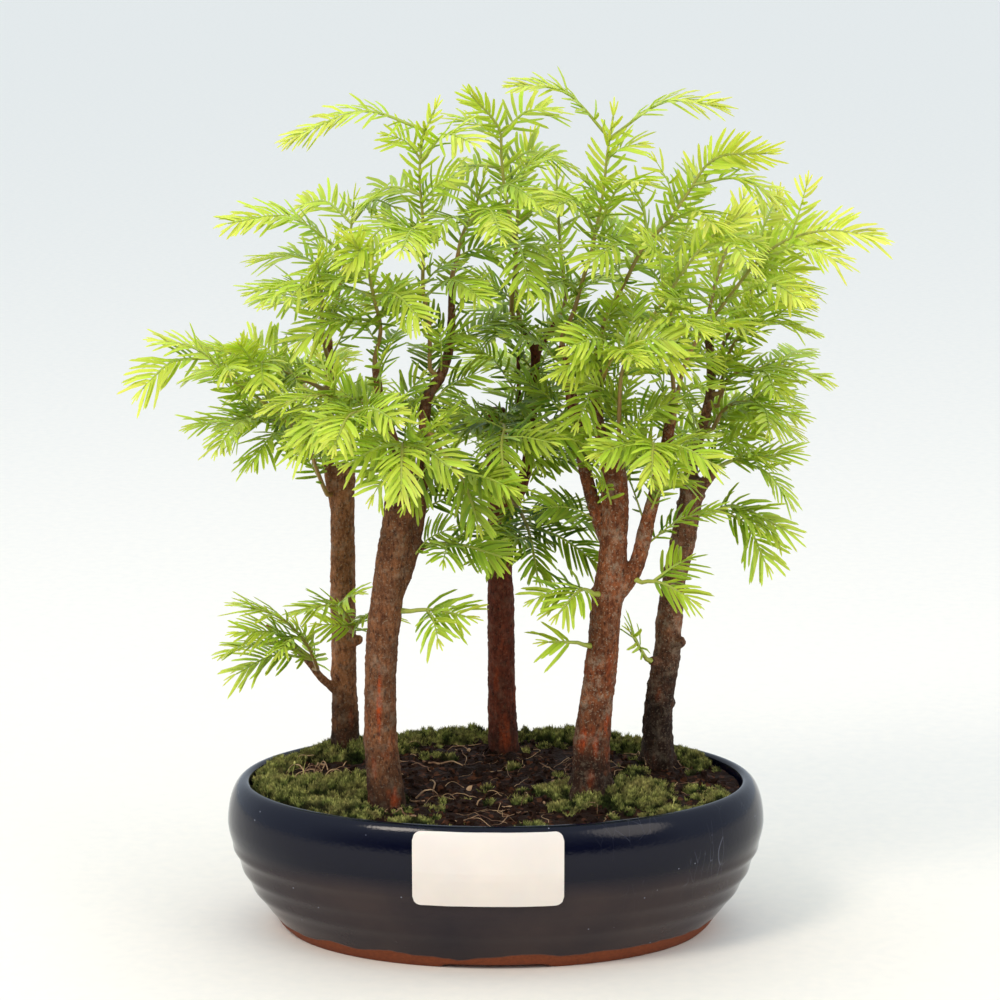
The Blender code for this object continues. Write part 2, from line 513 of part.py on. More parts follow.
def make_soil(parent):
    bm = bmesh.new()
    wall = [(radius, z) for radius, z in inside_profile() if z > FLOOR_TOP]
    floor = FLOOR_TOP + GAP
    sides = [ring(bm, oval(WALL_FOOT_RADIUS + 0.3, floor, inset=GAP))]
    sides += [ring(bm, oval(radius, z, inset=GAP)) for radius, z in reversed(wall)]
    rings = []
    for step in range(SOIL_RINGS):
        share = 1 - step / SOIL_RINGS
        points = oval(LIP_RADIUS * share - 0.1, 0.0, sides=TRAY_SIDES, inset=GAP * share)
        sunk = SOIL_EDGE_CRUMB if step == 0 else SOIL_CRUMB
        rings.append(ring(bm, [(x, y, mound(x, y) - sunk * crumb(x, y)) for x, y, _ in points]))
    for lower, upper in zip(sides + rings[:1], sides[1:] + rings[:1]):
        bridge(bm, lower, upper)
    for lower, upper in zip(rings, rings[1:]):
        bridge(bm, lower, upper)
    top = bm.verts.new((0, 0, mound(0, 0) - 0.5 * SOIL_CRUMB))
    for i in range(TRAY_SIDES):
        bm.faces.new((rings[-1][i], rings[-1][(i + 1) % TRAY_SIDES], top))
    bm.faces.new(sides[0][::-1])
    pockets = []
    reach = SCREEN_SIZE / 2 + GAP
    for x in (-DRAIN_X, DRAIN_X):
        high = FLOOR_TOP + SCREEN_THICKNESS + 2 * GAP
        pockets.append(block((x - reach, -reach, 0), (x + reach, reach, high)))
    mesh = booled(mesh_of(bm, "soil"), pockets + [socket(tree) for tree in TREES], "DIFFERENCE")
    return add_object("soil", mesh, material("Potting soil", "2e1e16", 0.95), parent)


def moss_outline(row, share):
    """Points round a cushion at a share of its size, with soft lobes, kept inside the tray's lip."""
    x0, y0, along, across, turn, _, seed = row
    cos_turn, sin_turn = math.cos(math.radians(turn)), math.sin(math.radians(turn))
    points = []
    for i in range(MOSS_SIDES):
        t = 2 * math.pi * i / MOSS_SIDES
        lobe = share * (1 + 0.09 * math.sin(3 * t + seed) + 0.06 * math.sin(5 * t + 2 * seed))
        u, v = along * lobe * math.cos(t), across * lobe * math.sin(t)
        x, y = x0 + u * cos_turn - v * sin_turn, y0 + u * sin_turn + v * cos_turn
        edge = math.hypot(x / LIP_RADIUS, y / (LIP_RADIUS * TRAY_RATIO))
        shrink = min(1.0, MOSS_REACH / edge)
        points.append((x * shrink, y * shrink))
    return points


def make_moss(parent):
    """Low cushions that lie on the soil, with a lumpy top; the trunks stand in holes through them."""
    for name, row in MOSS.items():
        height, seed = row[5], row[6]
        bm = bmesh.new()
        below = []
        above = []
        for share, level in zip(MOSS_SHARES, MOSS_LEVELS):
            outline = moss_outline(row, share)
            below.append(ring(bm, [(x, y, mound(x, y) + GAP) for x, y in outline]))
            outline = moss_outline(row, share * MOSS_TOP_SHARE)
            lump = [level * height * (0.8 + 0.4 * crumb(2.3 * x + seed, 2.9 * y)) for x, y in outline]
            above.append(ring(bm, [(x, y, mound(x, y) + GAP + up) for (x, y), up in zip(outline, lump)]))
        bridge(bm, below[0], above[0])
        bridge(bm, above[0], above[1])
        bridge(bm, below[1], below[0])
        x, y = np.mean(moss_outline(row, MOSS_SHARES[-1]), axis=0)
        peak = bm.verts.new((x, y, mound(x, y) + GAP + height))
        base = bm.verts.new((x, y, mound(x, y) + GAP))
        for i in range(MOSS_SIDES):
            j = (i + 1) % MOSS_SIDES
            bm.faces.new((above[-1][i], above[-1][j], peak))
            bm.faces.new((below[-1][j], below[-1][i], base))
        holes = [socket(tree, MOSS_SOCKET_GAP) for tree in TREES]
        mesh = booled(mesh_of(bm, name), holes, "DIFFERENCE")
        add_object(name, mesh, material("Moss", "6d7f22", 0.95), parent)


def smooth_path(points, step=1.0):
    """A smooth curve through the points, as rows about one step apart. A radius column is blended too."""
    rows = np.array(points, float)
    span = np.linalg.norm(np.diff(rows[:, :3], axis=0), axis=1)
    at = np.concatenate([[0], np.cumsum(np.maximum(span, 1e-6) ** 0.75)])
    slope = np.empty_like(rows)
    slope[1:-1] = (rows[2:] - rows[:-2]) / (at[2:] - at[:-2])[:, None]
    slope[0] = (rows[1] - rows[0]) / (at[1] - at[0])
    slope[-1] = (rows[-1] - rows[-2]) / (at[-1] - at[-2])
    made = [rows[0]]
    for i, length in enumerate(span):
        gap = at[i + 1] - at[i]
        count = max(1, round(length / step))
        for k in range(1, count + 1):
            t = k / count
            a, b = 2 * t**3 - 3 * t**2 + 1, t**3 - 2 * t**2 + t
            c, d = 3 * t**2 - 2 * t**3, t**3 - t**2
            made.append(a * rows[i] + b * gap * slope[i] + c * rows[i + 1] + d * gap * slope[i + 1])
    return np.array(made)


class Path:
    """A curve that can be asked for its point and direction at a distance along it."""

    def __init__(self, rows):
        self.rows = rows[:, :3]
        steps = np.linalg.norm(np.diff(self.rows, axis=0), axis=1)
        self.at = np.concatenate([[0], np.cumsum(steps)])
        self.length = float(self.at[-1])

    def point(self, s):
        return Vector([np.interp(s, self.at, self.rows[:, k]) for k in range(3)])

    def direction(self, s):
        reach = 0.8
        return (self.point(min(self.length, s + reach)) - self.point(max(0.0, s - reach))).normalized()


def tube(rows, sides, seed=0):
    """A closed tapered tube along rows of x, y, z and radius, a little out of round."""
    bm = bmesh.new()
    curve = Path(np.array(rows, float))
    side = Vector((1, 0, 0))
    last = None
    for i, row in enumerate(rows):
        along = curve.direction(curve.at[i])
        side = (side - along * side.dot(along)).normalized()
        other = along.cross(side)
        points = []
        for k in range(sides):
            t = 2 * math.pi * k / sides
            radius = row[3] * (1 - OUT_OF_ROUND * (1 + math.sin(2 * t + 0.9 * i + seed)))
            offset = side * math.cos(t) + other * math.sin(t)
            points.append(Vector(row[:3]) + offset * radius)
        made = ring(bm, points)
        if last is None:
            bm.faces.new(made[::-1])
        else:
            bridge(bm, last, made)
        last = made
    bm.faces.new(last)
    return mesh_of(bm, "tube")


def wood_rows(tree, part):
    """The rows of a piece of wood after smoothing, at the spacing that its tube has."""
    rows = TREES[tree][part]
    if part != "trunk":
        return smooth_path(rows, BRANCH_STEP)
    buried_end = np.array(rows[:1], float)
    return np.vstack([buried_end, smooth_path(rows[1:], TRUNK_STEP)])


def make_trees(parent):
    """Each tree's wood as one body, its trunk joined with its branches, stubs and knots."""
    barks = {"a": "6b4a3d", "b": "6e4a3c", "c": "4f2a20", "d": "6a4535", "e": "3a2a26"}
    for tree, parts in TREES.items():
        tubes = []
        for seed, part in enumerate(parts):
            sides = TRUNK_SIDES if part == "trunk" else BRANCH_SIDES
            tubes.append(tube(wood_rows(tree, part), sides, seed))
        mesh = booled(tubes[0], tubes[1:], "UNION")
        finish = material(f"Bark {tree}", barks[tree], 0.9)
        add_object(f"trunk_{tree}", mesh, finish, parent, sharp_degrees=60)


def leave_wood(tree, part, height, towards):
    """Where a shoot starts just clear of its wood, and a second point straight out from it."""
    rows = wood_rows(tree, part)
    if height is None:
        end = Vector(rows[-1][:3])
        out = (end - Vector(rows[-2][:3])).normalized()
        start = end + out * GAP
    else:
        middle = Vector([np.interp(height, rows[:, 2], rows[:, k]) for k in range(3)])
        radius = float(np.interp(height, rows[:, 2], rows[:, 3]))
        along = Path(rows).direction(float(np.interp(height, rows[:, 2], Path(rows).at)))
        out = Vector(towards) - middle
        out = (out - along * out.dot(along)).normalized()
        start = middle + out * (radius + GAP)
    return tuple(start), tuple(start + out * SHOOT_LEAVES_BY)


def facing(point, along, roll):
    """The direction across a spray, whose face looks up, outward and to the light at the front."""
    outward = Vector((point.x, point.y, 0)) / OUT_DISTANCE
    if outward.length > 1:
        outward.normalize()
    target = Vector((0, -LEAN_FRONT, 1)) + outward * LEAN_OUT
    side = target.cross(along)
    side = side.normalized() if side.length > 0.35 else Vector((1, 0, 0))
    return side * math.cos(roll) + along.cross(side) * math.sin(roll)


class Limb:
    """One leafy stem: its curve, its thickness, and where its pairs of needles stand."""

    def __init__(self, rows, radius, leafy, rng):
        self.path = Path(rows)
        self.radius = radius
        length = self.path.length
        face = FACE_SHARE * length
        roll = rng.uniform(-ROLL_MOST, ROLL_MOST)
        self.side = facing(self.path.point(face), self.path.direction(face), roll)
        leafy = min(leafy, length - BARE_LEAST)
        count = max(2, round(leafy / NEEDLE_PITCH))
        first = length - leafy + 0.5 * leafy / count - NEEDLE_SET_BACK
        self.pairs = [first + leafy * i / count for i in range(count)]
        self.count = count
        self.needles = {}
        self.joints = []

    def joint(self, s):
        """The place nearest to a distance where a side spray can grow: at a needle pair if leafy."""
        nearest = min(self.pairs, key=lambda pair: abs(pair - s))
        if s > self.pairs[0] - 0.5 * NEEDLE_PITCH:
            return nearest
        self.joints.append(s)
        return s

    def frame(self, s):
        """Point, direction, side and upper direction at a distance along the limb."""
        point, along = self.path.point(s), self.path.direction(s)
        side = (self.side - along * self.side.dot(along)).normalized()
        return point, along, side, along.cross(side)

    def section(self, s):
        """The three corners of the stem at a distance along it: left, right and keel."""
        point, _, side, upper = self.frame(s)
        radius = self.radius * (1 - STEM_TAPER * s / self.path.length)
        return [point + side * radius + upper * 0.5 * radius, point - side * radius + upper * 0.5 * radius,
                point - upper * radius]

    def needle_tip(self, index, sign, tilt):
        """The tip of one needle: longest in the middle of the spray, and angled forward towards its end."""
        s = self.pairs[index]
        point, along, side, upper = self.frame(s)
        share = (index + 0.5) / self.count
        angle = math.radians(NEEDLE_FIRST_DEGREES + (NEEDLE_LAST_DEGREES - NEEDLE_FIRST_DEGREES) * share)
        swell = math.sin(math.pi * min(1.0, share + 0.15))
        length = NEEDLE_LENGTH * (NEEDLE_LEAST_SHARE + (1 - NEEDLE_LEAST_SHARE) * swell)
        flat = side * sign * math.sin(angle) + along * math.cos(angle)
        raised = flat * math.cos(tilt) + upper * math.sin(tilt)
        return point + raised * length


class Room:
    """What stands where, as capsules with an owner, to keep the needles of one piece clear of the others."""

    def __init__(self):
        self.rows = []

    def add(self, owner, a, b, radius):
        self.rows.append((owner, *a, *b, radius))

    def gap(self, owner, start, end):
        """The smallest distance from a segment to the surface of anything that another owner has there."""
        rows = [row[1:] for row in self.rows if row[0] != owner]
        data = np.array(rows)
        a, b, radius = data[:, :3], data[:, 3:6], data[:, 6]
        along = b - a
        square = np.maximum((along**2).sum(axis=1), 1e-9)
        best = math.inf
        for t in np.linspace(0, 1, 9):
            p = np.array(start) * (1 - t) + np.array(end) * t
            share = np.clip(((p - a) * along).sum(axis=1) / square, 0, 1)
            near = a + along * share[:, None]
            best = min(best, float((np.linalg.norm(p - near, axis=1) - radius).min()))
        return best


def plan_limbs():
    """The curves of all the shoots: the leading stem of each and its side sprays."""
    rng = random.Random(SHOOT_SEED)
    plan = {}
    for name, (tree, part, height, route, sides) in SHOOTS.items():
        start = leave_wood(tree, part, height, route[0])
        stem = smooth_path([*start, *route], STEM_STEP)
        limbs = [Limb(stem, STEM_RADIUS, LEAFY_LENGTH, rng)]
        for share, tip in sides:
            at = limbs[0].joint(share * limbs[0].path.length)
            base = limbs[0].path.point(at)
            along = limbs[0].path.direction(at)
            reach = (Vector(tip) - base).length
            bow = Vector((0, 0, SPRAY_RISE * reach)) + along * SPRAY_SWEEP * reach
            middle = (base + Vector(tip)) / 2 + bow
            rows = smooth_path([tuple(base), tuple(middle), tip], STEM_STEP)
            limbs.append(Limb(rows, RACHIS_RADIUS, SPRAY_LEAFY_SHARE * reach, rng))
        plan[name] = limbs
    return plan


def fill_room(plan):
    """The wood, the stems and the needles at their ends, as what each side needle has to stay clear of."""
    room = Room()
    for tree, parts in TREES.items():
        for part in parts:
            rows = wood_rows(tree, part)
            for a, b in zip(rows, rows[1:]):
                room.add(f"trunk_{tree}", tuple(a[:3]), tuple(b[:3]), max(a[3], b[3]))
    for name, limbs in plan.items():
        for limb in limbs:
            length = limb.path.length
            count = max(2, round(length / ROOM_STEP))
            points = [limb.path.point(length * i / count) for i in range(count + 1)]
            for a, b in zip(points, points[1:]):
                room.add(name, tuple(a), tuple(b), limb.radius)
            end = limb.path.point(length)
            tip = end + limb.path.direction(length) * (END_NEEDLE_LENGTH + NEEDLE_RADIUS)
            room.add(name, tuple(end), tuple(tip), NEEDLE_RADIUS)
    return room


def place_needles(plan):
    """Gives each limb the needles that stay clear of every other piece, tilted where that helps."""
    room = fill_room(plan)
    sites = [(name, limb, index, sign) for name, limbs in plan.items() for limb in limbs
             for index in range(limb.count) for sign in (1, -1)]
    for name, limb, index, sign in sites:
        root = limb.path.point(limb.pairs[index])
        for tilt in NEEDLE_TILTS:
            tip = limb.needle_tip(index, sign, tilt)
            if room.gap(name, root.lerp(tip, NEEDLE_ROOT_SHARE), tip) > NEEDLE_RADIUS + CLEAR:
                limb.needles[(index, sign)] = tip
                room.add(name, tuple(root), tuple(tip), NEEDLE_RADIUS)
                break


def add_strip(bm, a0, a1, b1, b0):
    """Two triangles over four corners, always split along the same diagonal."""
    bm.faces.new((a0, a1, b1))
    bm.faces.new((a0, b1, b0))


def limb_mesh(limb):
    """One closed body: a three-sided stem whose side faces are drawn out into flat needles."""
    bm = bmesh.new()
    half = NEEDLE_WIDTH / 2
    places = [0.0]
    for s in [*sorted(limb.joints), limb.pairs[0] - half]:
        steps = math.ceil((s - places[-1]) / BARE_STEP)
        places += [places[-1] + (s - places[-1]) * i / steps for i in range(1, steps + 1)]
    places.pop()
    pair_of = {}
    for index, s in enumerate(limb.pairs):
        pair_of[len(places)] = index
        places += [s - half, s + half]
    rings = [ring(bm, limb.section(s)) for s in places]
    bm.faces.new((rings[0][0], rings[0][1], rings[0][2]))
    for k, (near, far) in enumerate(zip(rings, rings[1:])):
        index = pair_of.get(k)
        add_strip(bm, near[0], far[0], far[1], near[1])
        for sign, corner in ((1, 0), (-1, 1)):
            tip = limb.needles.get((index, sign)) if index is not None else None
            if tip is None:
                add_strip(bm, near[corner], far[corner], far[2], near[2])
                continue
            along = (Vector(far[corner].co) - Vector(near[corner].co)).normalized() * NEEDLE_TIP_WIDTH / 2
            tip_near, tip_far = bm.verts.new(tip - along), bm.verts.new(tip + along)
            add_strip(bm, near[corner], far[corner], tip_far, tip_near)
            add_strip(bm, near[2], far[2], tip_far, tip_near)
            bm.faces.new((near[corner], tip_near, near[2]))
            bm.faces.new((far[corner], far[2], tip_far))
    last = rings[-1]
    point, along, side, _ = limb.frame(limb.path.length)
    end = point + along * END_NEEDLE_LENGTH
    left = bm.verts.new(end + side * END_NEEDLE_WIDTH / 2)
    right = bm.verts.new(end - side * END_NEEDLE_WIDTH / 2)
    add_strip(bm, last[0], last[1], right, left)
    bm.faces.new((last[2], last[0], left))
    bm.faces.new((last[1], last[2], right))
    bm.faces.new((last[2], left, right))
    return mesh_of(bm, "limb")


def make_shoots(parent):
    """Each leafy shoot as one body: its stem, its side sprays and their needles."""
    plan = plan_limbs()
    place_needles(plan)
    for name, limbs in plan.items():
        meshes = [limb_mesh(limb) for limb in limbs]
        mesh = booled(meshes[0], meshes[1:], "UNION", "MANIFOLD")
        add_object(name, mesh, material("Needles", "7fae2c", 0.5), parent, sharp_degrees=30)


def main():
    clear_scene()
    planting = bpy.data.objects.new("planting", None)
    bpy.context.collection.objects.link(planting)
    planting.location = (TRAY_X * MM, TRAY_Y * MM, 0)
    make_tray(planting)
    make_tag(planting)
    make_screens(planting)
    make_soil(planting)
    make_moss(planting)
    make_trees(planting)
    make_shoots(planting)


if __name__ == "__main__":
    main()
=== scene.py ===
"""Dawn redwood bonsai forest: its looks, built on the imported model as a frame.

Lengths are millimetres in the tray's own frame until a mesh is made; place() turns them to metres in the
model's frame. The tables of wood and shoots repeat the layout of the part's source.
"""

import math
import random

import bmesh
import bpy
import numpy as np
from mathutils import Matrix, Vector


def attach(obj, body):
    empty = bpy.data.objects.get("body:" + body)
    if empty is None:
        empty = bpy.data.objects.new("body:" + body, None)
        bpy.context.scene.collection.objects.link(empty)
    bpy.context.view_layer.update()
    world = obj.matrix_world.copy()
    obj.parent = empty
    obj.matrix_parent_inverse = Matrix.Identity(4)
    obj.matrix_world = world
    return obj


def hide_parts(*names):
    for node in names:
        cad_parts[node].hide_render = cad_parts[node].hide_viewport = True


bl_info = {
    "name": "Dawn Redwood Forest",
    "version": (1, 0, 0),
    "blender": (4, 5, 0),
    "location": "3D View > Sidebar > Forest",
    "description": "Builds the looks of a dawn redwood bonsai forest in an oval glazed tray",
    "category": "Add Mesh",
}

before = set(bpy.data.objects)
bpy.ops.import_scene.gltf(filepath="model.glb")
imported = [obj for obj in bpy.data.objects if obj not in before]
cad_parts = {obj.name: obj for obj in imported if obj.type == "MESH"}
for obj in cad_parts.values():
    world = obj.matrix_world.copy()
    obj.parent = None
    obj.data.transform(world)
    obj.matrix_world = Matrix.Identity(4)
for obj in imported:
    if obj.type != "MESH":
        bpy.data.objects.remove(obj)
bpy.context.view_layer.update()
MM = 0.001
TRAY_OFFSET = np.array([-4.0, -2.4, 0.0])

# The tray's section: radius along X and height, from the foot up the outside, over the rim and down inside
TRAY_RATIO = 0.73
BODY_PROFILE = [(73, 0), (74.6, 2.0), (76.4, 4.6), (79.8, 8.8), (82.8, 12.6), (84.9, 16.0), (86.8, 19.6),
                (88.7, 24.0), (90.2, 28), (91.2, 31.2), (92.0, 34.2), (92.4, 37.0)]
RIM_TOP = 52.0
SHOULDER = (86.3, 37.0, 6.1)
LIP_RADIUS = 84.8
INSIDE_PROFILE = [(84.8, 50.2), (84.2, 47.5), (84.0, 45.0), (82.6, 36.0), (80.8, 26.0), (77.8, 18.0),
                  (74.0, 10.5), (70.0, 6.5)]
FOOT_RECESS_RADIUS = 64.0
FOOT_RECESS_TOP = 2.5
NOTCH_HALF_WIDTH = 17.0
NOTCH_HEIGHT = 1.5
DRAIN_X = 32.0
DRAIN_RADIUS = 6.0
TAG_X = -2.4
TAG_SIZE = (50.0, 25.4, 50.6)
TAG_CORNER = 3.0
TAG_LIFT = 0.7
TAG_THICKNESS = 0.22

# Soil surface
SOIL_EDGE = 48.8
SOIL_RISE_FRONT = 2.2
SOIL_RISE_BACK = 5.6
SOIL_RISE_FROM = -20.0
SOIL_RISE_OVER = 50.0
SOIL_CRUMB = 1.3

# Each piece of wood: rows of x, y, z and radius along its middle. The first of each tree is the trunk.
TREES = {
    "a": {
        "trunk": [(-53, 30, 40, 4.9), (-53, 30, 56, 4.8), (-53, 30, 72, 4.5), (-53.3, 30, 90, 4.4),
                  (-53.4, 30, 108, 4.3), (-53.2, 29, 126, 4.3), (-53, 28, 144, 4.3), (-52.4, 28, 156, 4.1)],
        "leader": [(-54, 28, 134, 1.9), (-56, 28, 143, 2.0), (-57.8, 27, 154, 1.9), (-57.6, 26, 169, 1.7),
                   (-57, 23, 187, 1.6), (-57.1, 20, 201, 1.4)],
        "twig": [(-53, 30, 73, 1.9), (-56, 28, 76, 1.8), (-60.6, 23, 81, 1.5), (-67.7, 16, 92, 1.2),
                 (-79, 11, 103, 0.9)],
        "knob": [(-53, 30, 91, 2.2), (-49.5, 27.5, 93.5, 2.1), (-47, 26, 94.5, 1.5)],
    },
    "b": {
        "trunk": [(-36.5, -31, 40, 6.2), (-36.5, -31, 53, 6.1), (-38.5, -31, 71, 5.7),
                  (-38.7, -31, 87, 5.4), (-38, -31, 104, 5.4), (-36.2, -31, 121, 5.4),
                  (-34.1, -31, 136, 5.4), (-32.4, -31, 148, 5.1), (-31, -31, 162, 4.6),
                  (-30.6, -31, 172, 4.2)],
        "right": [(-33, -31, 124, 2.8), (-30.1, -30, 131, 3.0), (-26.3, -28, 146, 2.7),
                  (-24.8, -26, 157, 2.5), (-23.8, -22, 173, 2.2), (-22.8, -20, 187, 2.0),
                  (-18.1, -18, 195, 1.8), (-15.1, -16, 206, 1.6), (-14.5, -14, 226, 1.3)],
        "left": [(-31.4, -30, 163, 2.2), (-32.5, -29, 170, 2.2), (-35, -26, 178, 1.8), (-38.1, -22, 187, 1.6),
                 (-40.1, -18, 198, 1.4)],
        "stub": [(-28.5, -29, 136, 1.8), (-25.5, -29.5, 138.5, 1.6), (-22.5, -30.5, 139.5, 1.2)],
    },
    "c": {
        "trunk": [(2.6, 30, 40, 5.2), (2.6, 30, 57, 5.1), (2.2, 30, 72, 4.8), (1.9, 29, 93, 4.7),
                  (1.5, 28, 122, 4.4), (1.2, 27, 144, 4.2), (0.5, 27, 161, 4.0), (-0.2, 27, 176, 3.9)],
        "branch": [(1.4, 26.6, 131, 2.1), (3.6, 26, 138, 2.3), (8.4, 26, 147.5, 2.2), (11.2, 26, 158, 2.1),
                   (12.2, 25, 172, 2.0), (13.2, 23, 186, 1.9), (13.5, 20, 197, 1.8), (10.7, 18, 203, 1.6),
                   (6.3, 15, 209, 1.4)],
        "fork": [(13.4, 20.2, 195, 1.6), (17, 25, 201, 1.5), (21.5, 30, 206, 1.3)],
        "twig": [(1.5, 26, 160, 1.3), (6.0, 22.5, 168, 1.2), (7.8, 19, 178, 1.0), (7.8, 16, 188, 0.9),
                 (7.6, 11, 197, 0.8)],
    },
    "d": {
        "trunk": [(32, -20, 40, 6.7), (32, -20, 54, 6.6), (32.2, -20, 68, 6.1), (34, -20, 84, 5.6),
                  (35.9, -20, 101, 5.3), (37.5, -20, 118, 5.3), (39.1, -20, 132, 4.8), (40.1, -19, 146, 4.6),
                  (39.7, -18, 159, 4.3), (38.9, -18, 170, 3.9)],
        "left": [(38.8, -19, 130, 2.4), (37, -18, 139, 2.6), (33.1, -15, 150, 2.5), (30.4, -12, 160, 2.3),
                 (28.4, -10, 171, 2.1), (26, -8, 183, 1.9), (23.7, -6, 196, 1.6), (22.3, -4, 203, 1.4)],
        "right": [(37, -20, 112, 2.6), (40.5, -20, 120, 2.9), (46.5, -20, 128.5, 2.8),
                  (49.1, -20, 137.5, 2.6), (51.8, -19, 149, 2.4), (54.8, -17, 161, 2.2),
                  (57.8, -15, 174, 1.9), (59.5, -12, 185.5, 1.6)],
        "up": [(39.3, -17.5, 158, 2.2), (37.7, -16, 165, 2.2), (34.4, -11, 178.5, 1.9),
               (34.1, -8, 191.6, 1.7), (35.1, -6, 205, 1.5)],
        "knot": [(34.5, -20, 85, 2.4), (31, -23.5, 84, 2.3), (29, -25, 83.6, 1.6)],
    },
    "e": {
        "trunk": [(56.5, 16, 40, 5.9), (56.5, 16, 55, 5.7), (56.3, 16, 68, 5.3), (57.8, 16, 82, 4.9),
                  (59.4, 16, 93, 4.6), (60.3, 16, 107, 4.5), (62.6, 15, 121.5, 4.4), (64.9, 15, 135.6, 4.2),
                  (66.9, 15, 146, 4.0), (67.6, 15, 154, 3.7)],
        "stub": [(67, 15, 144, 2.6), (70, 12.6, 150.5, 2.3), (74.3, 9, 156.7, 1.8)],
        "up": [(66.8, 15.5, 143, 2.1), (67.4, 16.5, 151, 2.1), (68.3, 19, 161, 1.9), (71, 20, 170.3, 1.8),
               (73.4, 21, 180, 1.7), (74, 21, 188.6, 1.6), (72.7, 20, 204.4, 1.4)],
        "knob": [(58.6, 15, 88, 2.0), (55, 10.5, 90.2, 1.9), (53.2, 8, 91, 1.4)],
        "bump": [(59.6, 16, 94, 2.4), (63, 13.5, 96, 2.3), (65, 12, 97, 1.6)],
    },
}

# Where bark came off each trunk: degrees round it, height, half width and half height, how bare
SCARS = {
    "a": [(-62, 66, 1.2, 4.0, 0.5)],
    "b": [(-92, 86, 0.9, 12.0, 1.0), (-62, 53.5, 2.2, 4.5, 1.0), (-118, 64, 0.9, 5.0, 0.4)],
    "c": [(-78, 60, 2.4, 7.0, 0.7), (-112, 78, 1.2, 9.0, 0.4)],
    "d": [(-122, 71, 2.0, 4.5, 1.0), (-76, 69, 1.5, 5.5, 0.9), (-42, 77, 1.4, 5.0, 0.8),
          (-88, 58, 1.6, 4.0, 0.6), (-60, 97, 1.0, 5.0, 0.5), (95, 74, 2.0, 6.0, 0.8)],
    "e": [(-100, 78, 0.9, 3.0, 0.5)],
}

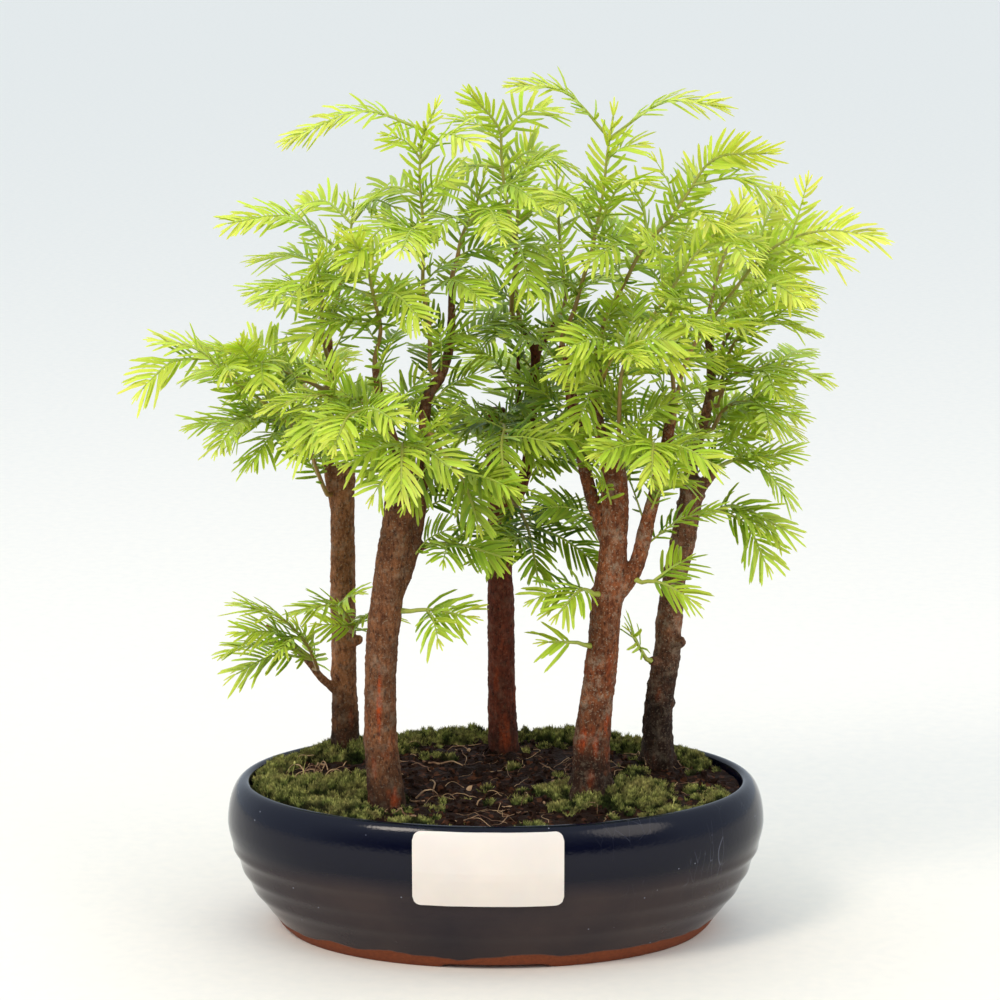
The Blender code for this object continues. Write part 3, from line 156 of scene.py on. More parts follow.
# Each leafy shoot: the tree and wood that it grows from, the height there (None for the wood's end),
# the middle of the shoot out to its tip, and its side sprays as the share along it and their tips.
SHOOTS = {
    "shoot_a1": ("a", "leader", 146, [(-61, 20, 154), (-64, 10, 165), (-71, -4, 177), (-78, -12, 185),
                 (-85, -18, 191), (-91, -22, 197), (-99, -26, 205), (-111, -28, 208)],
                 [(.80, (-116, -34, 193)), (.66, (-102, 6, 192)), (.5, (-84, -36, 208)),
                  (.36, (-81, -22, 166))]),
    "shoot_a2": ("a", "leader", 168, [(-62, 20, 170), (-72, 8, 174), (-83, -2, 178), (-101, -8, 176)],
                 [(.45, (-91, 22, 166)), (.55, (-92, -30, 172))]),
    "shoot_a3": ("a", "leader", 184, [(-63, 14, 187), (-71, 4, 192), (-81, -6, 198), (-97, -16, 204)],
                 [(.4, (-85, 22, 201)), (.5, (-76, -40, 195))]),
    "shoot_a4": ("a", "leader", None, [(-55, 18, 211), (-53, 16, 220), (-51, 14, 230), (-49, 14, 240),
                 (-48, 14, 249)],
                 [(.2, (-81, 2, 220)), (.42, (-80, 26, 228)), (.62, (-90, 4, 243)), (.75, (-67, 30, 246)),
                  (.85, (-34, -8, 250))]),
    "shoot_a5": ("a", "leader", 196, [(-59, 8, 208), (-58, -8, 219), (-58, -24, 229), (-58, -44, 236)],
                 [(.45, (-75, -34, 222)), (.55, (-44, -20, 232))]),
    "shoot_a6": ("a", "twig", 86, [(-62, 13, 88), (-65, 4, 98), (-74, -3, 109), (-86, -8, 114)],
                 [(.3, (-87, -5, 104)), (.2, (-92, -7, 97)), (.12, (-89, 1, 88))]),
    "shoot_a7": ("a", "trunk", 98, [(-49, 20, 98), (-52, 10, 108), (-57, 2, 112), (-66, -4, 111)],
                 [(.35, (-38, 0, 108))]),
    "shoot_a8": ("a", "leader", 176, [(-62, 36, 177), (-67, 50, 180), (-72, 64, 183), (-79, 78, 184)],
                 [(.45, (-91, 60, 175)), (.55, (-54, 80, 185))]),
    "shoot_b1": ("b", "right", 194, [(-22, -17, 212), (-24, -18, 223), (-24, -18, 233), (-24, -18, 247),
                 (-25, -18, 260), (-24, -18, 273), (-20, -18, 283)],
                 [(.88, (-67, -22, 274)), (.8, (-8, -44, 275)), (.62, (-44, -6, 251)), (.45, (-30, -60, 242)),
                  (.5, (-47, -46, 236)), (.3, (-4, -46, 224))]),
    "shoot_b2": ("b", "right", None, [(-13, -12, 232), (-11, -10, 241), (-7, -10, 249), (-4, -14, 260)],
                 [(.75, (14, -34, 254)), (.6, (2, -50, 245)), (.45, (-22, -36, 243)), (.85, (-17, -4, 258))]),
    "shoot_b3": ("b", "left", None, [(-38, -22, 211), (-40, -28, 222), (-42, -34, 233), (-46, -46, 244)],
                 [(.45, (-58, -40, 223)), (.5, (-24, -52, 218)), (.25, (-64, -30, 208))]),
    "shoot_b4": ("b", "trunk", 168, [(-30, -42, 175), (-30, -56, 178), (-30, -70, 176), (-30, -78, 167)],
                 [(.45, (-46, -64, 174)), (.5, (-14, -66, 172))]),
    "shoot_b5": ("b", "right", 176, [(-18, -28, 171), (-12, -36, 165), (-8, -42, 157), (-6, -46, 150)],
                 [(.5, (4, -50, 163))]),
    "shoot_b6": ("b", "left", 186, [(-44, -30, 188), (-53, -38, 191), (-62, -46, 192), (-74, -52, 189)],
                 [(.5, (-59, -62, 182)), (.4, (-57, -34, 202))]),
    "shoot_b7": ("b", "stub", None, [(-18, -34, 141), (-10, -38, 141), (2, -42, 138)],
                 [(.35, (-5, -26, 145))]),
    "shoot_b8": ("b", "trunk", 118, [(-25, -32, 118), (-18, -34, 118), (-10, -38, 117)], []),
    "shoot_b9": ("b", "left", 176, [(-41, -38, 184), (-45, -52, 188), (-48, -66, 188), (-51, -78, 182)],
                 [(.45, (-64, -62, 176)), (.5, (-32, -74, 189))]),
    "shoot_c1": ("c", "branch", None, [(6, 10, 221), (7, 6, 232), (5, 2, 244), (3, 0, 255), (2, -2, 265),
                 (1, -4, 276), (-8, -8, 287)],
                 [(.85, (18, 6, 281)), (.62, (-19, 14, 251)), (.7, (22, 14, 263)),
                  (.35, (11, -32, 225))]),
    "shoot_c2": ("c", "branch", 204, [(8, 24, 208), (7, 28, 219), (7, 30, 231), (8, 30, 248), (12, 32, 268)],
                 [(.8, (-9, 42, 259)), (.6, (31, 40, 247)), (.5, (18, 60, 239))]),
    "shoot_c3": ("c", "fork", None, [(24, 32, 213), (23, 36, 223), (22, 40, 236), (21, 44, 255)],
                 [(.6, (45, 54, 236)), (.25, (46, 44, 215))]),
    "shoot_c4": ("c", "trunk", 166, [(-1, 14, 170), (1, 0, 175), (3, -16, 177), (2, -34, 174), (3, -46, 163)],
                 [(.55, (32, -26, 172)), (.45, (-19, -14, 175))]),
    "shoot_c5": ("c", "branch", 168, [(17, 15, 171), (21, 8, 176), (24, 1, 178)], [(.4, (38, 14, 181))]),
    "shoot_c6": ("c", "trunk", 146, [(7, 16, 144), (10, 4, 141), (12, -10, 137), (14, -24, 128)],
                 [(.5, (35, -8, 128)), (.4, (-3, -8, 130)), (.3, (36, 6, 138))]),
    "shoot_c7": ("c", "branch", 186, [(13, 36, 184), (11, 50, 185), (9, 66, 186), (7, 82, 186)],
                 [(.5, (32, 70, 189)), (.5, (-12, 68, 184))]),
    "shoot_c8": ("c", "trunk", 162, [(-1, 40, 163), (-5, 54, 163), (-9, 70, 162)],
                 [(.4, (-23, 48, 168)), (.4, (12, 66, 163))]),
    "shoot_d1": ("d", "left", None, [(26, -6, 214), (29, -8, 225), (32, -8, 235), (34, -8, 245),
                 (36, -8, 256), (37, -8, 267), (39, -8, 280)],
                 [(.86, (7, -18, 291)), (.84, (73, -14, 284)), (.55, (47, -40, 262)), (.5, (20, -38, 254)),
                  (.42, (49, 20, 235)), (.25, (13, -30, 222))]),
    "shoot_d2": ("d", "up", None, [(38, -8, 215), (43, -12, 225), (49, -14, 237), (57, -16, 246),
                 (64, -16, 256), (69, -16, 264), (75, -16, 268), (89, -20, 269)],
                 [(.66, (94, -20, 253)), (.42, (44, -18, 259)), (.5, (71, -44, 248)), (.36, (31, -36, 235)),
                  (.56, (69, 18, 256))]),
    "shoot_d3": ("d", "trunk", 168, [(41, -26, 184), (42, -30, 199), (48, -32, 211), (56, -32, 223),
                 (64, -32, 235), (72, -32, 244), (82, -34, 251)],
                 [(.8, (82, -54, 236)), (.6, (47, -50, 244)), (.45, (66, -60, 216)), (.35, (24, -54, 210))]),
    "shoot_d4": ("d", "right", None, [(59, -10, 197), (59, -6, 207), (59, -2, 216), (61, 2, 228),
                 (65, 6, 244)],
                 [(.65, (83, 12, 238)), (.5, (43, 22, 228)), (.35, (83, -22, 211))]),
    "shoot_d5": ("d", "right", 178, [(62, -16, 194), (66, -18, 205), (73, -18, 215), (80, -20, 225),
                 (88, -22, 235), (97, -22, 241), (110, -24, 244), (124, -26, 242)],
                 [(.62, (112, -36, 235)), (.55, (94, 2, 251)), (.45, (99, -46, 224)), (.3, (55, -44, 224))]),
    "shoot_d6": ("d", "right", 162, [(53, -28, 167), (52, -42, 175), (51, -58, 178), (50, -70, 170)],
                 [(.5, (70, -56, 172)), (.45, (35, -56, 176))]),
    "shoot_d7": ("d", "up", 188, [(36, -22, 195), (38, -36, 203), (41, -52, 209), (45, -68, 207)],
                 [(.5, (60, -52, 205)), (.45, (21, -52, 201))]),
    "shoot_d8": ("d", "trunk", 121, [(32, -27, 123), (28, -34, 125), (21, -42, 119)], []),
    "shoot_d9": ("d", "trunk", 103, [(29, -25, 105), (18, -28, 106)], []),
    "shoot_d10": ("d", "right", 127, [(50, -24, 126), (56, -28, 126), (65, -30, 121)],
                  [(.4, (64, -18, 132))]),
    "shoot_e1": ("e", "up", None, [(74, 25, 214), (78, 34, 226), (83, 40, 237), (86, 45, 247)],
                 [(.6, (101, 54, 229)), (.5, (66, 54, 236)), (.4, (90, 62, 214))]),
    "shoot_e2": ("e", "up", 190, [(78, 22, 199), (85, 26, 211), (90, 28, 223), (94, 30, 236), (97, 32, 248)],
                 [(.55, (109, 34, 234)), (.42, (105, 8, 221))]),
    "shoot_e3": ("e", "up", 182, [(80, 18, 197), (86, 12, 206), (94, 10, 209), (107, 10, 205)],
                 [(.4, (102, -12, 219)), (.45, (86, -4, 219))]),
    "shoot_e4": ("e", "up", 178, [(80, 20, 188), (90, 20, 191), (101, 20, 191), (113, 20, 187)],
                 [(.55, (106, 44, 193)), (.4, (94, -4, 187))]),
    "shoot_e5": ("e", "up", 170, [(79, 18, 178), (88, 16, 180), (104, 14, 175)],
                 [(.5, (101, 40, 177)), (.4, (92, -8, 175))]),
    "shoot_e6": ("e", "stub", None, [(80, 8, 161), (88, 6, 162), (100, 4, 165)],
                 [(.4, (99, 0, 150)), (.35, (94, 26, 159))]),
    "shoot_e7": ("e", "trunk", 142, [(74, 12, 142), (82, 10, 145), (100, 6, 137)], [(.35, (92, 2, 127))]),
    "shoot_e8": ("e", "knob", None, [(50, 2, 96), (46, -5, 104)], []),
    "shoot_e9": ("e", "up", 164, [(75, 32, 171), (80, 46, 171), (85, 62, 171), (91, 78, 170)],
                 [(.45, (104, 52, 164)), (.5, (73, 72, 171))]),
    "shoot_e10": ("e", "trunk", 151, [(65, 28, 157), (62, 42, 158), (59, 58, 156), (57, 74, 152)],
                  [(.5, (77, 66, 147)), (.45, (43, 50, 158))]),
}

# Each moss cushion: middle x and y, half sizes along and across, turn in degrees, height, seed of its lobes
MOSS = {
    "moss_left": (-58, -14, 27, 19, -28, 4.4, 1),
    "moss_a": (-50, 31, 19, 13, 12, 5.4, 2),
    "moss_back": (-14, 47, 19, 9.5, -2, 5.8, 3),
    "moss_right": (36, 42, 27, 11, -14, 5.4, 4),
    "moss_d": (39, -20, 24, 15, -6, 3.6, 5),
}
# Thin patches of moss between the cushions, in the same order of numbers
MOSS_PATCHES = [
    (68, 30, 8, 14, 10, 3.6, 6), (60, -42, 12, 8, 38, 2.6, 7), (-28, -52, 8, 5, -12, 2.0, 8),
    (76, -22, 5, 11, -8, 2.0, 9), (12, -56, 6, 3, 0, 1.6, 10), (-75, 9, 7.5, 19, -8, 4.4, 11),
    (14, 48, 14, 8, 4, 4.8, 12), (-33, 42, 9, 10, 30, 4.4, 13), (24, -36, 7, 5, 20, 2.0, 14),
    (-22, 20, 6, 4, 0, 1.6, 15), (48, 4, 6, 4, 40, 1.6, 16), (-63, 31, 13, 7, 38, 4.2, 17),
    (-52, -39, 17, 7, -31, 4.0, 18), (-79, -9, 5.5, 11, 12, 4.0, 19),
]
# A hollow in the moss where the soil shows: middle x and y, half sizes
POCKET = (-61, 4, 13.0, 11.0)
# Moss capsules on their stalks: x, y and height
CAPSULES = [(-70, -3, 4.6), (-66.3, -1.5, 6.0), (-71.5, -6, 3.0), (33, 38, 4.0), (59, -40, 3.4)]

# Growth rules shared with the solids
SHOOT_SEED = 7
STEM_RADIUS = 0.95
RACHIS_RADIUS = 0.7
LEAFY_LENGTH = 43.0
BARE_LEAST = 5.0
SPRAY_LEAFY_SHARE = 0.8
SPRAY_RISE = 0.1
SPRAY_SWEEP = 0.08
LEAN_OUT = 0.5
LEAN_FRONT = 0.5
OUT_DISTANCE = 60.0
FACE_SHARE = 0.7
ROLL_MOST = 0.35
NEEDLE_PITCH = 11.0
NEEDLE_SET_BACK = 2.0
GAP = 0.35

# How fine the pieces are made: points round the tray, rings of the soil and points round them, columns and
# rows of the label, and the wood's voxels in mm
TRAY_SIDES = 216
SOIL_GRID = (84, 260)
TAG_GRID = (97, 49)
WOOD_VOXEL = 0.62

# Moss: square mm for each small clump, the clumps' radius, leaves on each square mm, radius of a leaf's foot
CLUMP_AREA = 12
CLUMP_RADIUS = 1.95
LEAVES_PER_AREA = 5.0
MOSS_LEAF_RADIUS = 0.26
# Length of each straight part of a loose root in mm, and the small knots on a trunk besides those in TREES
ROOT_STEP = 1.4
KNOTS = 9
# Short sprays: where their first needles stand, and the size of their needles against those of the long ones
SHORT_FIRST = 2.5
SHORT_SCALE = 0.86

# Seeds of the random draws. The last three have the number of the tree or shoot added.
SOIL_SEED = 11
MOSS_SEED = 5
BARK_SEED = 30
SHOOT_LOOKS_SEED = 100
INNER_SEED = 200

# The stage: the point that the camera looks at in mm, half the floor's side in m, and each lamp's place and
# size in m and its power in W
VIEW_MIDDLE = (-2.5, -2.4, 149.0)
FLOOR_REACH = 6.0
LAMPS = {
    "key": ((-0.75, -0.9, 1.15), 0.5, 10.0),
    "fill": ((1.0, -0.85, 0.75), 0.8, 4.4),
    "top": ((0.1, 0.35, 1.4), 0.7, 1.7),
}


def linear(hex_code):
    """The linear colour of an sRGB hex code such as 6e4a3c."""
    parts = [int(hex_code[i : i + 2], 16) / 255 for i in (0, 2, 4)]
    return tuple(c / 12.92 if c <= 0.04045 else ((c + 0.055) / 1.055) ** 2.4 for c in parts)


def colour_property(name, hex_code, description):
    """A colour, given as an sRGB hex code and kept linear."""
    return bpy.props.FloatVectorProperty(
        name=name, description=description, default=linear(hex_code), subtype="COLOR", min=0, max=1
    )


def length_property(name, millimetres, description):
    """A length that is shown and kept in metres."""
    return bpy.props.FloatProperty(
        name=name, description=description, default=millimetres * MM, min=0, unit="LENGTH", precision=5
    )


class TraySettings(bpy.types.PropertyGroup):
    """Glaze, clay and paper of the tray."""

    glaze: colour_property("Glaze", "05071a", "Thick dark blue glaze")
    # Brown of the lower body: partly glaze running thin, partly a painted reflection of the warm floor
    thin_glaze_and_painted_reflection: colour_property("Thin glaze", "382c2b", "Glaze where it runs thin over the throwing ridges")
    clay: colour_property("Clay", "8f4a2a", "Bare fired clay of the foot")
    paper: colour_property("Paper", "f2e6da", "Blank label stuck on the front")
    clay_band: length_property("Clay band", 4.6, "Height of the bare clay above the ground")
    ridge: length_property("Ridge", 0.45, "How far the throwing ridges stand out")


class GroundSettings(bpy.types.PropertyGroup):
    """Soil, roots and moss."""

    soil: colour_property("Soil", "27140b", "Damp potting soil")
    soil_dry: colour_property("Dry soil", "5c3622", "Bark bits and dry crumbs in the soil")
    root: colour_property("Roots", "cfa97e", "Fine dry roots on the surface")
    moss: colour_property("Moss", "446216", "Moss in the depth of a cushion")
    moss_tip: colour_property("Moss tips", "f4ee8e", "Tips of the moss leaves")
    tuft: length_property("Tuft", 1.7, "Length of a leaf of moss")
    crumbs: bpy.props.IntProperty(name="Crumbs", description="Loose crumbs of soil", default=1500, min=0)
    roots: bpy.props.IntProperty(name="Root fibres", description="Fine roots on the soil", default=120, min=0)
    clumps: bpy.props.IntProperty(name="Moss clumps", description="Small clumps of moss", default=80, min=0)


class WoodSettings(bpy.types.PropertyGroup):
    """Bark of the trunks and branches."""

    lichen: colour_property("Lichen", "a4947e", "Grey bloom on the bark")
    peel: colour_property("Fresh bark", "b04a1c", "Red-brown bark where old strips came off")
    damp: colour_property("Damp bark", "180e08", "Dark foot of a trunk")
    cut: colour_property("Cut wood", "5a4030", "Weathered end of a cut trunk")
    grain: length_property("Grain", 1.0, "Width of a strip of bark")
    relief: length_property("Relief", 0.28, "Depth of the furrows between the strips")


class FoliageSettings(bpy.types.PropertyGroup):
    """Needles and green stems."""

    # The young mark mixes these colours and holds painted light: needles deep in the crown get the old,
    # darker colour and those at its top and outside the young, lighter one; besides, the tips of the shoots
    # are yellower
    old: colour_property("Old needles", "385a0e", "Needles deep in the crown")
    grown: colour_property("Grown needles", "b2cc38", "Most needles")
    young: colour_property("Young needles", "e0e65a", "Needles at the tips of the shoots")
    twig: colour_property("Twig", "94743e", "Base of a young stem, turning woody")
    stem: colour_property("Stem", "a8bc48", "Green tip of a young stem")
    needle_length: length_property("Needle length", 12.0, "Longest needles of a spray")
    needle_width: length_property("Needle width", 1.35, "Width of a needle across its middle")
    spacing: length_property("Needle spacing", 1.95, "Distance between two pairs of needles")


class StageSettings(bpy.types.PropertyGroup):
    """Floor, light and camera."""

    floor: colour_property("Floor", "f8f0e4", "Pale studio floor")
    sky: colour_property("Light", "e2eefa", "Soft light from all round")
    lamp: colour_property("Lamps", "fff3e4", "Warm white of the lamps")
    light: bpy.props.FloatProperty(name="Brightness", description="Of the light from all round", default=1.2)
    distance: bpy.props.FloatProperty(
        name="Camera distance", description="From the middle of the planting", default=1.3, unit="LENGTH"
    )
    pitch: bpy.props.FloatProperty(
        name="Camera pitch", description="How far it looks down", default=math.radians(11), subtype="ANGLE"
    )
    lens: bpy.props.FloatProperty(
        name="Lens", description="Focal length on a 36 mm sensor", default=137.7, unit="CAMERA"
    )


def settings(group):
    """The panel's settings of one group, such as tray or wood."""
    return getattr(bpy.context.scene, "forest_" + group)


def mm(length):
    """A length property in millimetres."""
    return length / MM


def in_use(sockets, key):
    """A socket by its number, or the first one in use with a name."""
    if isinstance(key, int):
        return sockets[key]
    return next(socket for socket in sockets if socket.enabled and key in (socket.name, "any"))


def plug(made, inputs):
    """Gives each of these inputs of a node a value, or a link from another node or its socket. The pair under
    From or To holds a lower and an upper limit."""
    for key, value in inputs.items():
        if key in ("From", "To"):
            plug(made, {f"{key} Min": value[0], f"{key} Max": value[1]})
            continue
        socket = in_use(made.inputs, key)
        if isinstance(value, bpy.types.Node):
            value = in_use(value.outputs, "any")
        if isinstance(value, bpy.types.NodeSocket):
            made.id_data.links.new(value, socket)
        else:
            socket.default_value = (*value, 1.0) if socket.type == "RGBA" else value


def node(tree, kind, inputs=None, **options):
    """Adds a shader node with its own options and its inputs."""
    made = tree.nodes.new("ShaderNode" + kind)
    for key, value in options.items():
        setattr(made, key, value)
    plug(made, inputs or {})
    return made


def new_material(name, **values):
    """A Principled material; returns it, its tree, its shader and its object coordinates in metres."""
    made = bpy.data.materials.new(name)
    made.use_nodes = True
    tree = made.node_tree
    shader = tree.nodes["Principled BSDF"]
    plug(shader, {key.replace("_", " "): value for key, value in values.items()})
    where = node(tree, "TexCoord").outputs["Object"]
    return made, tree, shader, where


def finish_of(name, make, *values):
    """A material by name, made the first time that it is asked for."""
    return bpy.data.materials.get(name) or make(*values)


def per_mm(size):
    """Texture scale for features of a size in millimetres, in coordinates that are in metres."""
    return 1 / (size * MM)


# The looks of each material


def glazed_stoneware():
    """Stoneware dipped in a dark blue glaze: deep and wet-looking, with fine crazing, pinholes and light
    scratches.
    The lower body is brown, partly where the glaze runs thin and partly as a painted reflection of the warm
    floor.
    A wavy line ends the glaze, and the foot is bare terracotta."""
    tray = settings("tray")
    made, tree, shader, where = new_material("glazed stoneware", Roughness=0.1, IOR=1.33)
    axes = node(tree, "SeparateXYZ", {"Vector": where}).outputs
    wave = node(tree, "TexNoise", {"Vector": where, "Scale": per_mm(28), "Detail": 3.0})
    line = node(tree, "MapRange", {"Value": wave, "From": (0.3, 0.7),
                                   "To": ((mm(tray.clay_band) - 1.6) * MM, (mm(tray.clay_band) + 1.6) * MM)})
    over = node(tree, "Math", {0: axes["Z"], 1: line}, operation="SUBTRACT")
    glazed = node(tree, "MapRange", {"Value": over, "From": (0.0, 0.5 * MM)})
    cloud = node(tree, "TexNoise", {"Vector": where, "Scale": per_mm(34), "Detail": 5.0})
    # Painted reflection: below about 30 mm the body is mixed towards brown, as if it mirrored the warm floor
    low = node(tree, "MapRange", {"Value": axes["Z"], "From": (34 * MM, 27 * MM), "To": (0.0, 1.5)})
    thin = node(tree, "Math", {0: low, 1: cloud}, operation="MULTIPLY")
    glaze = node(tree, "Mix", {"Factor": thin, "A": tray.glaze, "B": tray.thin_glaze_and_painted_reflection}, data_type="RGBA")
    # Crazing and scratches: fine upright lines seen only in places
    tall = node(tree, "Mapping", {"Vector": where, "Scale": (1.0, 1.0, 0.1)})
    net = node(tree, "TexVoronoi", {"Vector": tall, "Scale": per_mm(3.6), "Randomness": 0.9},
               feature="DISTANCE_TO_EDGE")
    crack = node(tree, "MapRange", {"Value": net, "From": (0.0, 0.022), "To": (1.0, 0.0)})
    patch = node(tree, "TexNoise", {"Vector": where, "Scale": per_mm(26), "Detail": 3.0})
    some = node(tree, "MapRange", {"Value": patch, "From": (0.5, 0.66), "To": (0.0, 0.5)})
    right = node(tree, "MapRange", {"Value": axes["X"], "From": (28 * MM, 58 * MM)})
    high = node(tree, "MapRange", {"Value": axes["Z"], "From": (20 * MM, 31 * MM), "To": (0.1, 1.0)})
    there = node(tree, "Math", {0: high, 1: right}, operation="MULTIPLY")
    marks = node(tree, "Math", {0: some, 1: there}, operation="MULTIPLY")
    crazed = node(tree, "Math", {0: crack, 1: marks}, operation="MULTIPLY")
    dots = node(tree, "TexVoronoi", {"Vector": where, "Scale": per_mm(6.5)})
    dot = node(tree, "MapRange", {"Value": dots, "From": (0.03, 0.05), "To": (0.7, 0.0)})
    marked = node(tree, "Math", {0: crazed, 1: dot}, operation="MAXIMUM")
    veined = node(tree, "Mix", {"Factor": marked, "A": glaze, "B": linear("8d90a0")}, data_type="RGBA")
    grit = node(tree, "TexNoise", {"Vector": where, "Scale": per_mm(1.1), "Detail": 6.0})
    clay = node(tree, "Mix", {"Factor": grit, "A": tray.clay, "B": linear("5c2c18")}, data_type="RGBA")
    colour = node(tree, "Mix", {"Factor": glazed, "A": clay, "B": veined}, data_type="RGBA")
    smear = node(tree, "TexNoise", {"Vector": where, "Scale": per_mm(16), "Detail": 4.0})
    gloss = node(tree, "MapRange", {"Value": smear, "To": (0.03, 0.2)})
    rough = node(tree, "Mix", {"Factor": glazed, "A": 0.8, "B": gloss})
    pits = node(tree, "TexVoronoi", {"Vector": where, "Scale": per_mm(13)})
    pit = node(tree, "MapRange", {"Value": pits, "From": (0.0, 0.045)})
    rolling = node(tree, "TexNoise", {"Vector": where, "Scale": per_mm(11), "Detail": 2.0})
    height = node(tree, "Math", {0: rolling, 1: 0.5, 2: pit}, operation="MULTIPLY_ADD")
    rise = node(tree, "Math", {0: glazed, 1: 0.6, 2: height}, operation="MULTIPLY_ADD")
    final = node(tree, "Math", {0: grit, 1: 0.25, 2: rise}, operation="MULTIPLY_ADD")
    bump = node(tree, "Bump", {"Height": final, "Distance": 0.35 * MM, "Strength": 0.5})
    plug(shader, {"Base Color": colour, "Roughness": rough, "Normal": bump})
    return made


def label_paper():
    """Smooth coated label paper: near white, faintly mottled, with soft creases from the curve under it."""
    made, tree, shader, where = new_material("label paper", Roughness=0.42, Subsurface_Weight=0.1,
                                             Subsurface_Scale=0.4 * MM)
    fibre = node(tree, "TexNoise", {"Vector": where, "Scale": per_mm(0.8), "Detail": 5.0})
    blotch = node(tree, "TexNoise", {"Vector": where, "Scale": per_mm(14), "Detail": 2.0})
    colour = node(tree, "Mix", {"Factor": blotch, "A": settings("tray").paper, "B": linear("e0d8d2")},
                  data_type="RGBA")
    mixed = node(tree, "Math", {0: fibre, 1: 0.15, 2: blotch}, operation="MULTIPLY_ADD")
    bump = node(tree, "Bump", {"Height": mixed, "Distance": 0.4 * MM, "Strength": 0.25})
    plug(shader, {"Base Color": colour, "Normal": bump})
    return made


def moulded_plastic():
    """Moulded polypropylene mesh of the drain screens: dull black, with a faint mould texture."""
    made, tree, shader, where = new_material("moulded polypropylene", Roughness=0.55)
    grain = node(tree, "TexNoise", {"Vector": where, "Scale": per_mm(0.7), "Detail": 3.0})
    colour = node(tree, "Mix", {"Factor": grain, "A": linear("161614"), "B": linear("2b2a28")},
                  data_type="RGBA")
    bump = node(tree, "Bump", {"Height": grain, "Distance": 0.1 * MM, "Strength": 0.5})
    plug(shader, {"Base Color": colour, "Normal": bump})
    return made


def potting_soil():
    """Damp peat with fine bark: nearly black brown, matt, with paler dry bits and a little wet shine."""
    ground = settings("ground")
    made, tree, shader, where = new_material("damp peat and bark", Roughness=0.85, Specular_IOR_Level=0.12)
    bits = node(tree, "TexVoronoi", {"Vector": where, "Scale": per_mm(1.6)})
    fine = node(tree, "TexNoise", {"Vector": where, "Scale": per_mm(1.0), "Detail": 7.0, "Roughness": 0.65})
    patch = node(tree, "TexNoise", {"Vector": where, "Scale": per_mm(14), "Detail": 4.0})
    dry = node(tree, "MapRange", {"Value": bits.outputs["Color"], "From": (0.68, 0.92), "To": (0.0, 0.8)})
    base = node(tree, "Mix", {"Factor": patch, "A": linear("190c06"), "B": ground.soil}, data_type="RGBA")
    colour = node(tree, "Mix", {"Factor": dry, "A": base, "B": ground.soil_dry}, data_type="RGBA")
    rough = node(tree, "MapRange", {"Value": patch, "To": (0.55, 1.0)})
    height = node(tree, "Math", {0: fine, 1: bits.outputs["Distance"]}, operation="ADD")
    bump = node(tree, "Bump", {"Height": height, "Distance": 0.8 * MM, "Strength": 0.9})
    plug(shader, {"Base Color": colour, "Roughness": rough, "Normal": bump})
    return made


def fibre_root():
    """Dry fibrous roots: pale tan, darker where they are damp."""
    made, tree, shader, where = new_material("dry root", Roughness=0.7)
    patch = node(tree, "TexNoise", {"Vector": where, "Scale": per_mm(7), "Detail": 4.0})
    damp = node(tree, "MapRange", {"Value": patch, "From": (0.35, 0.65)})
    colour = node(tree, "Mix", {"Factor": damp, "A": linear("5e3826"), "B": settings("ground").root},
                  data_type="RGBA")
    bump = node(tree, "Bump", {"Height": patch, "Distance": 0.1 * MM, "Strength": 0.5})
    plug(shader, {"Base Color": colour, "Normal": bump})
    return made


def living_moss():
    """Cushion moss: matt, yellow green at the leaf tips, with straw patches where they have dried. Painted
    shade makes it nearly black green in its depth and darkens the edges of small grains."""
    ground = settings("ground")
    made, tree, shader, where = new_material("cushion moss", Roughness=0.9, Specular_IOR_Level=0.15)
    tip = node(tree, "Attribute", attribute_name="tip").outputs["Fac"]
    patch = node(tree, "TexNoise", {"Vector": where, "Scale": per_mm(7), "Detail": 6.0, "Roughness": 0.7})
    brown = node(tree, "MapRange", {"Value": patch, "From": (0.46, 0.64), "To": (0.0, 0.8)})
    green = node(tree, "Mix", {"Factor": tip, "A": ground.moss, "B": ground.moss_tip}, data_type="RGBA")
    colour = node(tree, "Mix", {"Factor": brown, "A": green, "B": linear("b8a868")}, data_type="RGBA")
    # Painted shade: where the tip mark is low, in the depth of a cushion and the gaps between clumps, the
    # colour goes nearly black
    deep = node(tree, "MapRange", {"Value": tip, "From": (0.0, 0.35)})
    shade = node(tree, "Mix", {"Factor": deep, "A": linear("131a08"), "B": colour}, data_type="RGBA")
    # Painted shade: each small grain is darker towards its edge; its own brightness varies at random
    star = node(tree, "TexVoronoi", {"Vector": where, "Scale": per_mm(1.7)})
    lit = node(tree, "MapRange", {"Value": star, "From": (0.12, 0.6), "To": (1.0, 0.35)})
    bright = node(tree, "MapRange", {"Value": star.outputs["Color"], "To": (0.85, 1.5)})
    both = node(tree, "Math", {0: lit, 1: bright}, operation="MULTIPLY")
    with_painted_grain_shade = node(tree, "Mix", {"Factor": 1.0, "A": shade, "B": both}, data_type="RGBA",
                  blend_type="MULTIPLY")
    grain = node(tree, "TexNoise", {"Vector": where, "Scale": per_mm(0.7), "Detail": 4.0})
    bump = node(tree, "Bump", {"Height": grain, "Distance": 0.5 * MM, "Strength": 0.8})
    plug(shader, {"Base Color": with_painted_grain_shade, "Normal": bump})
    return made


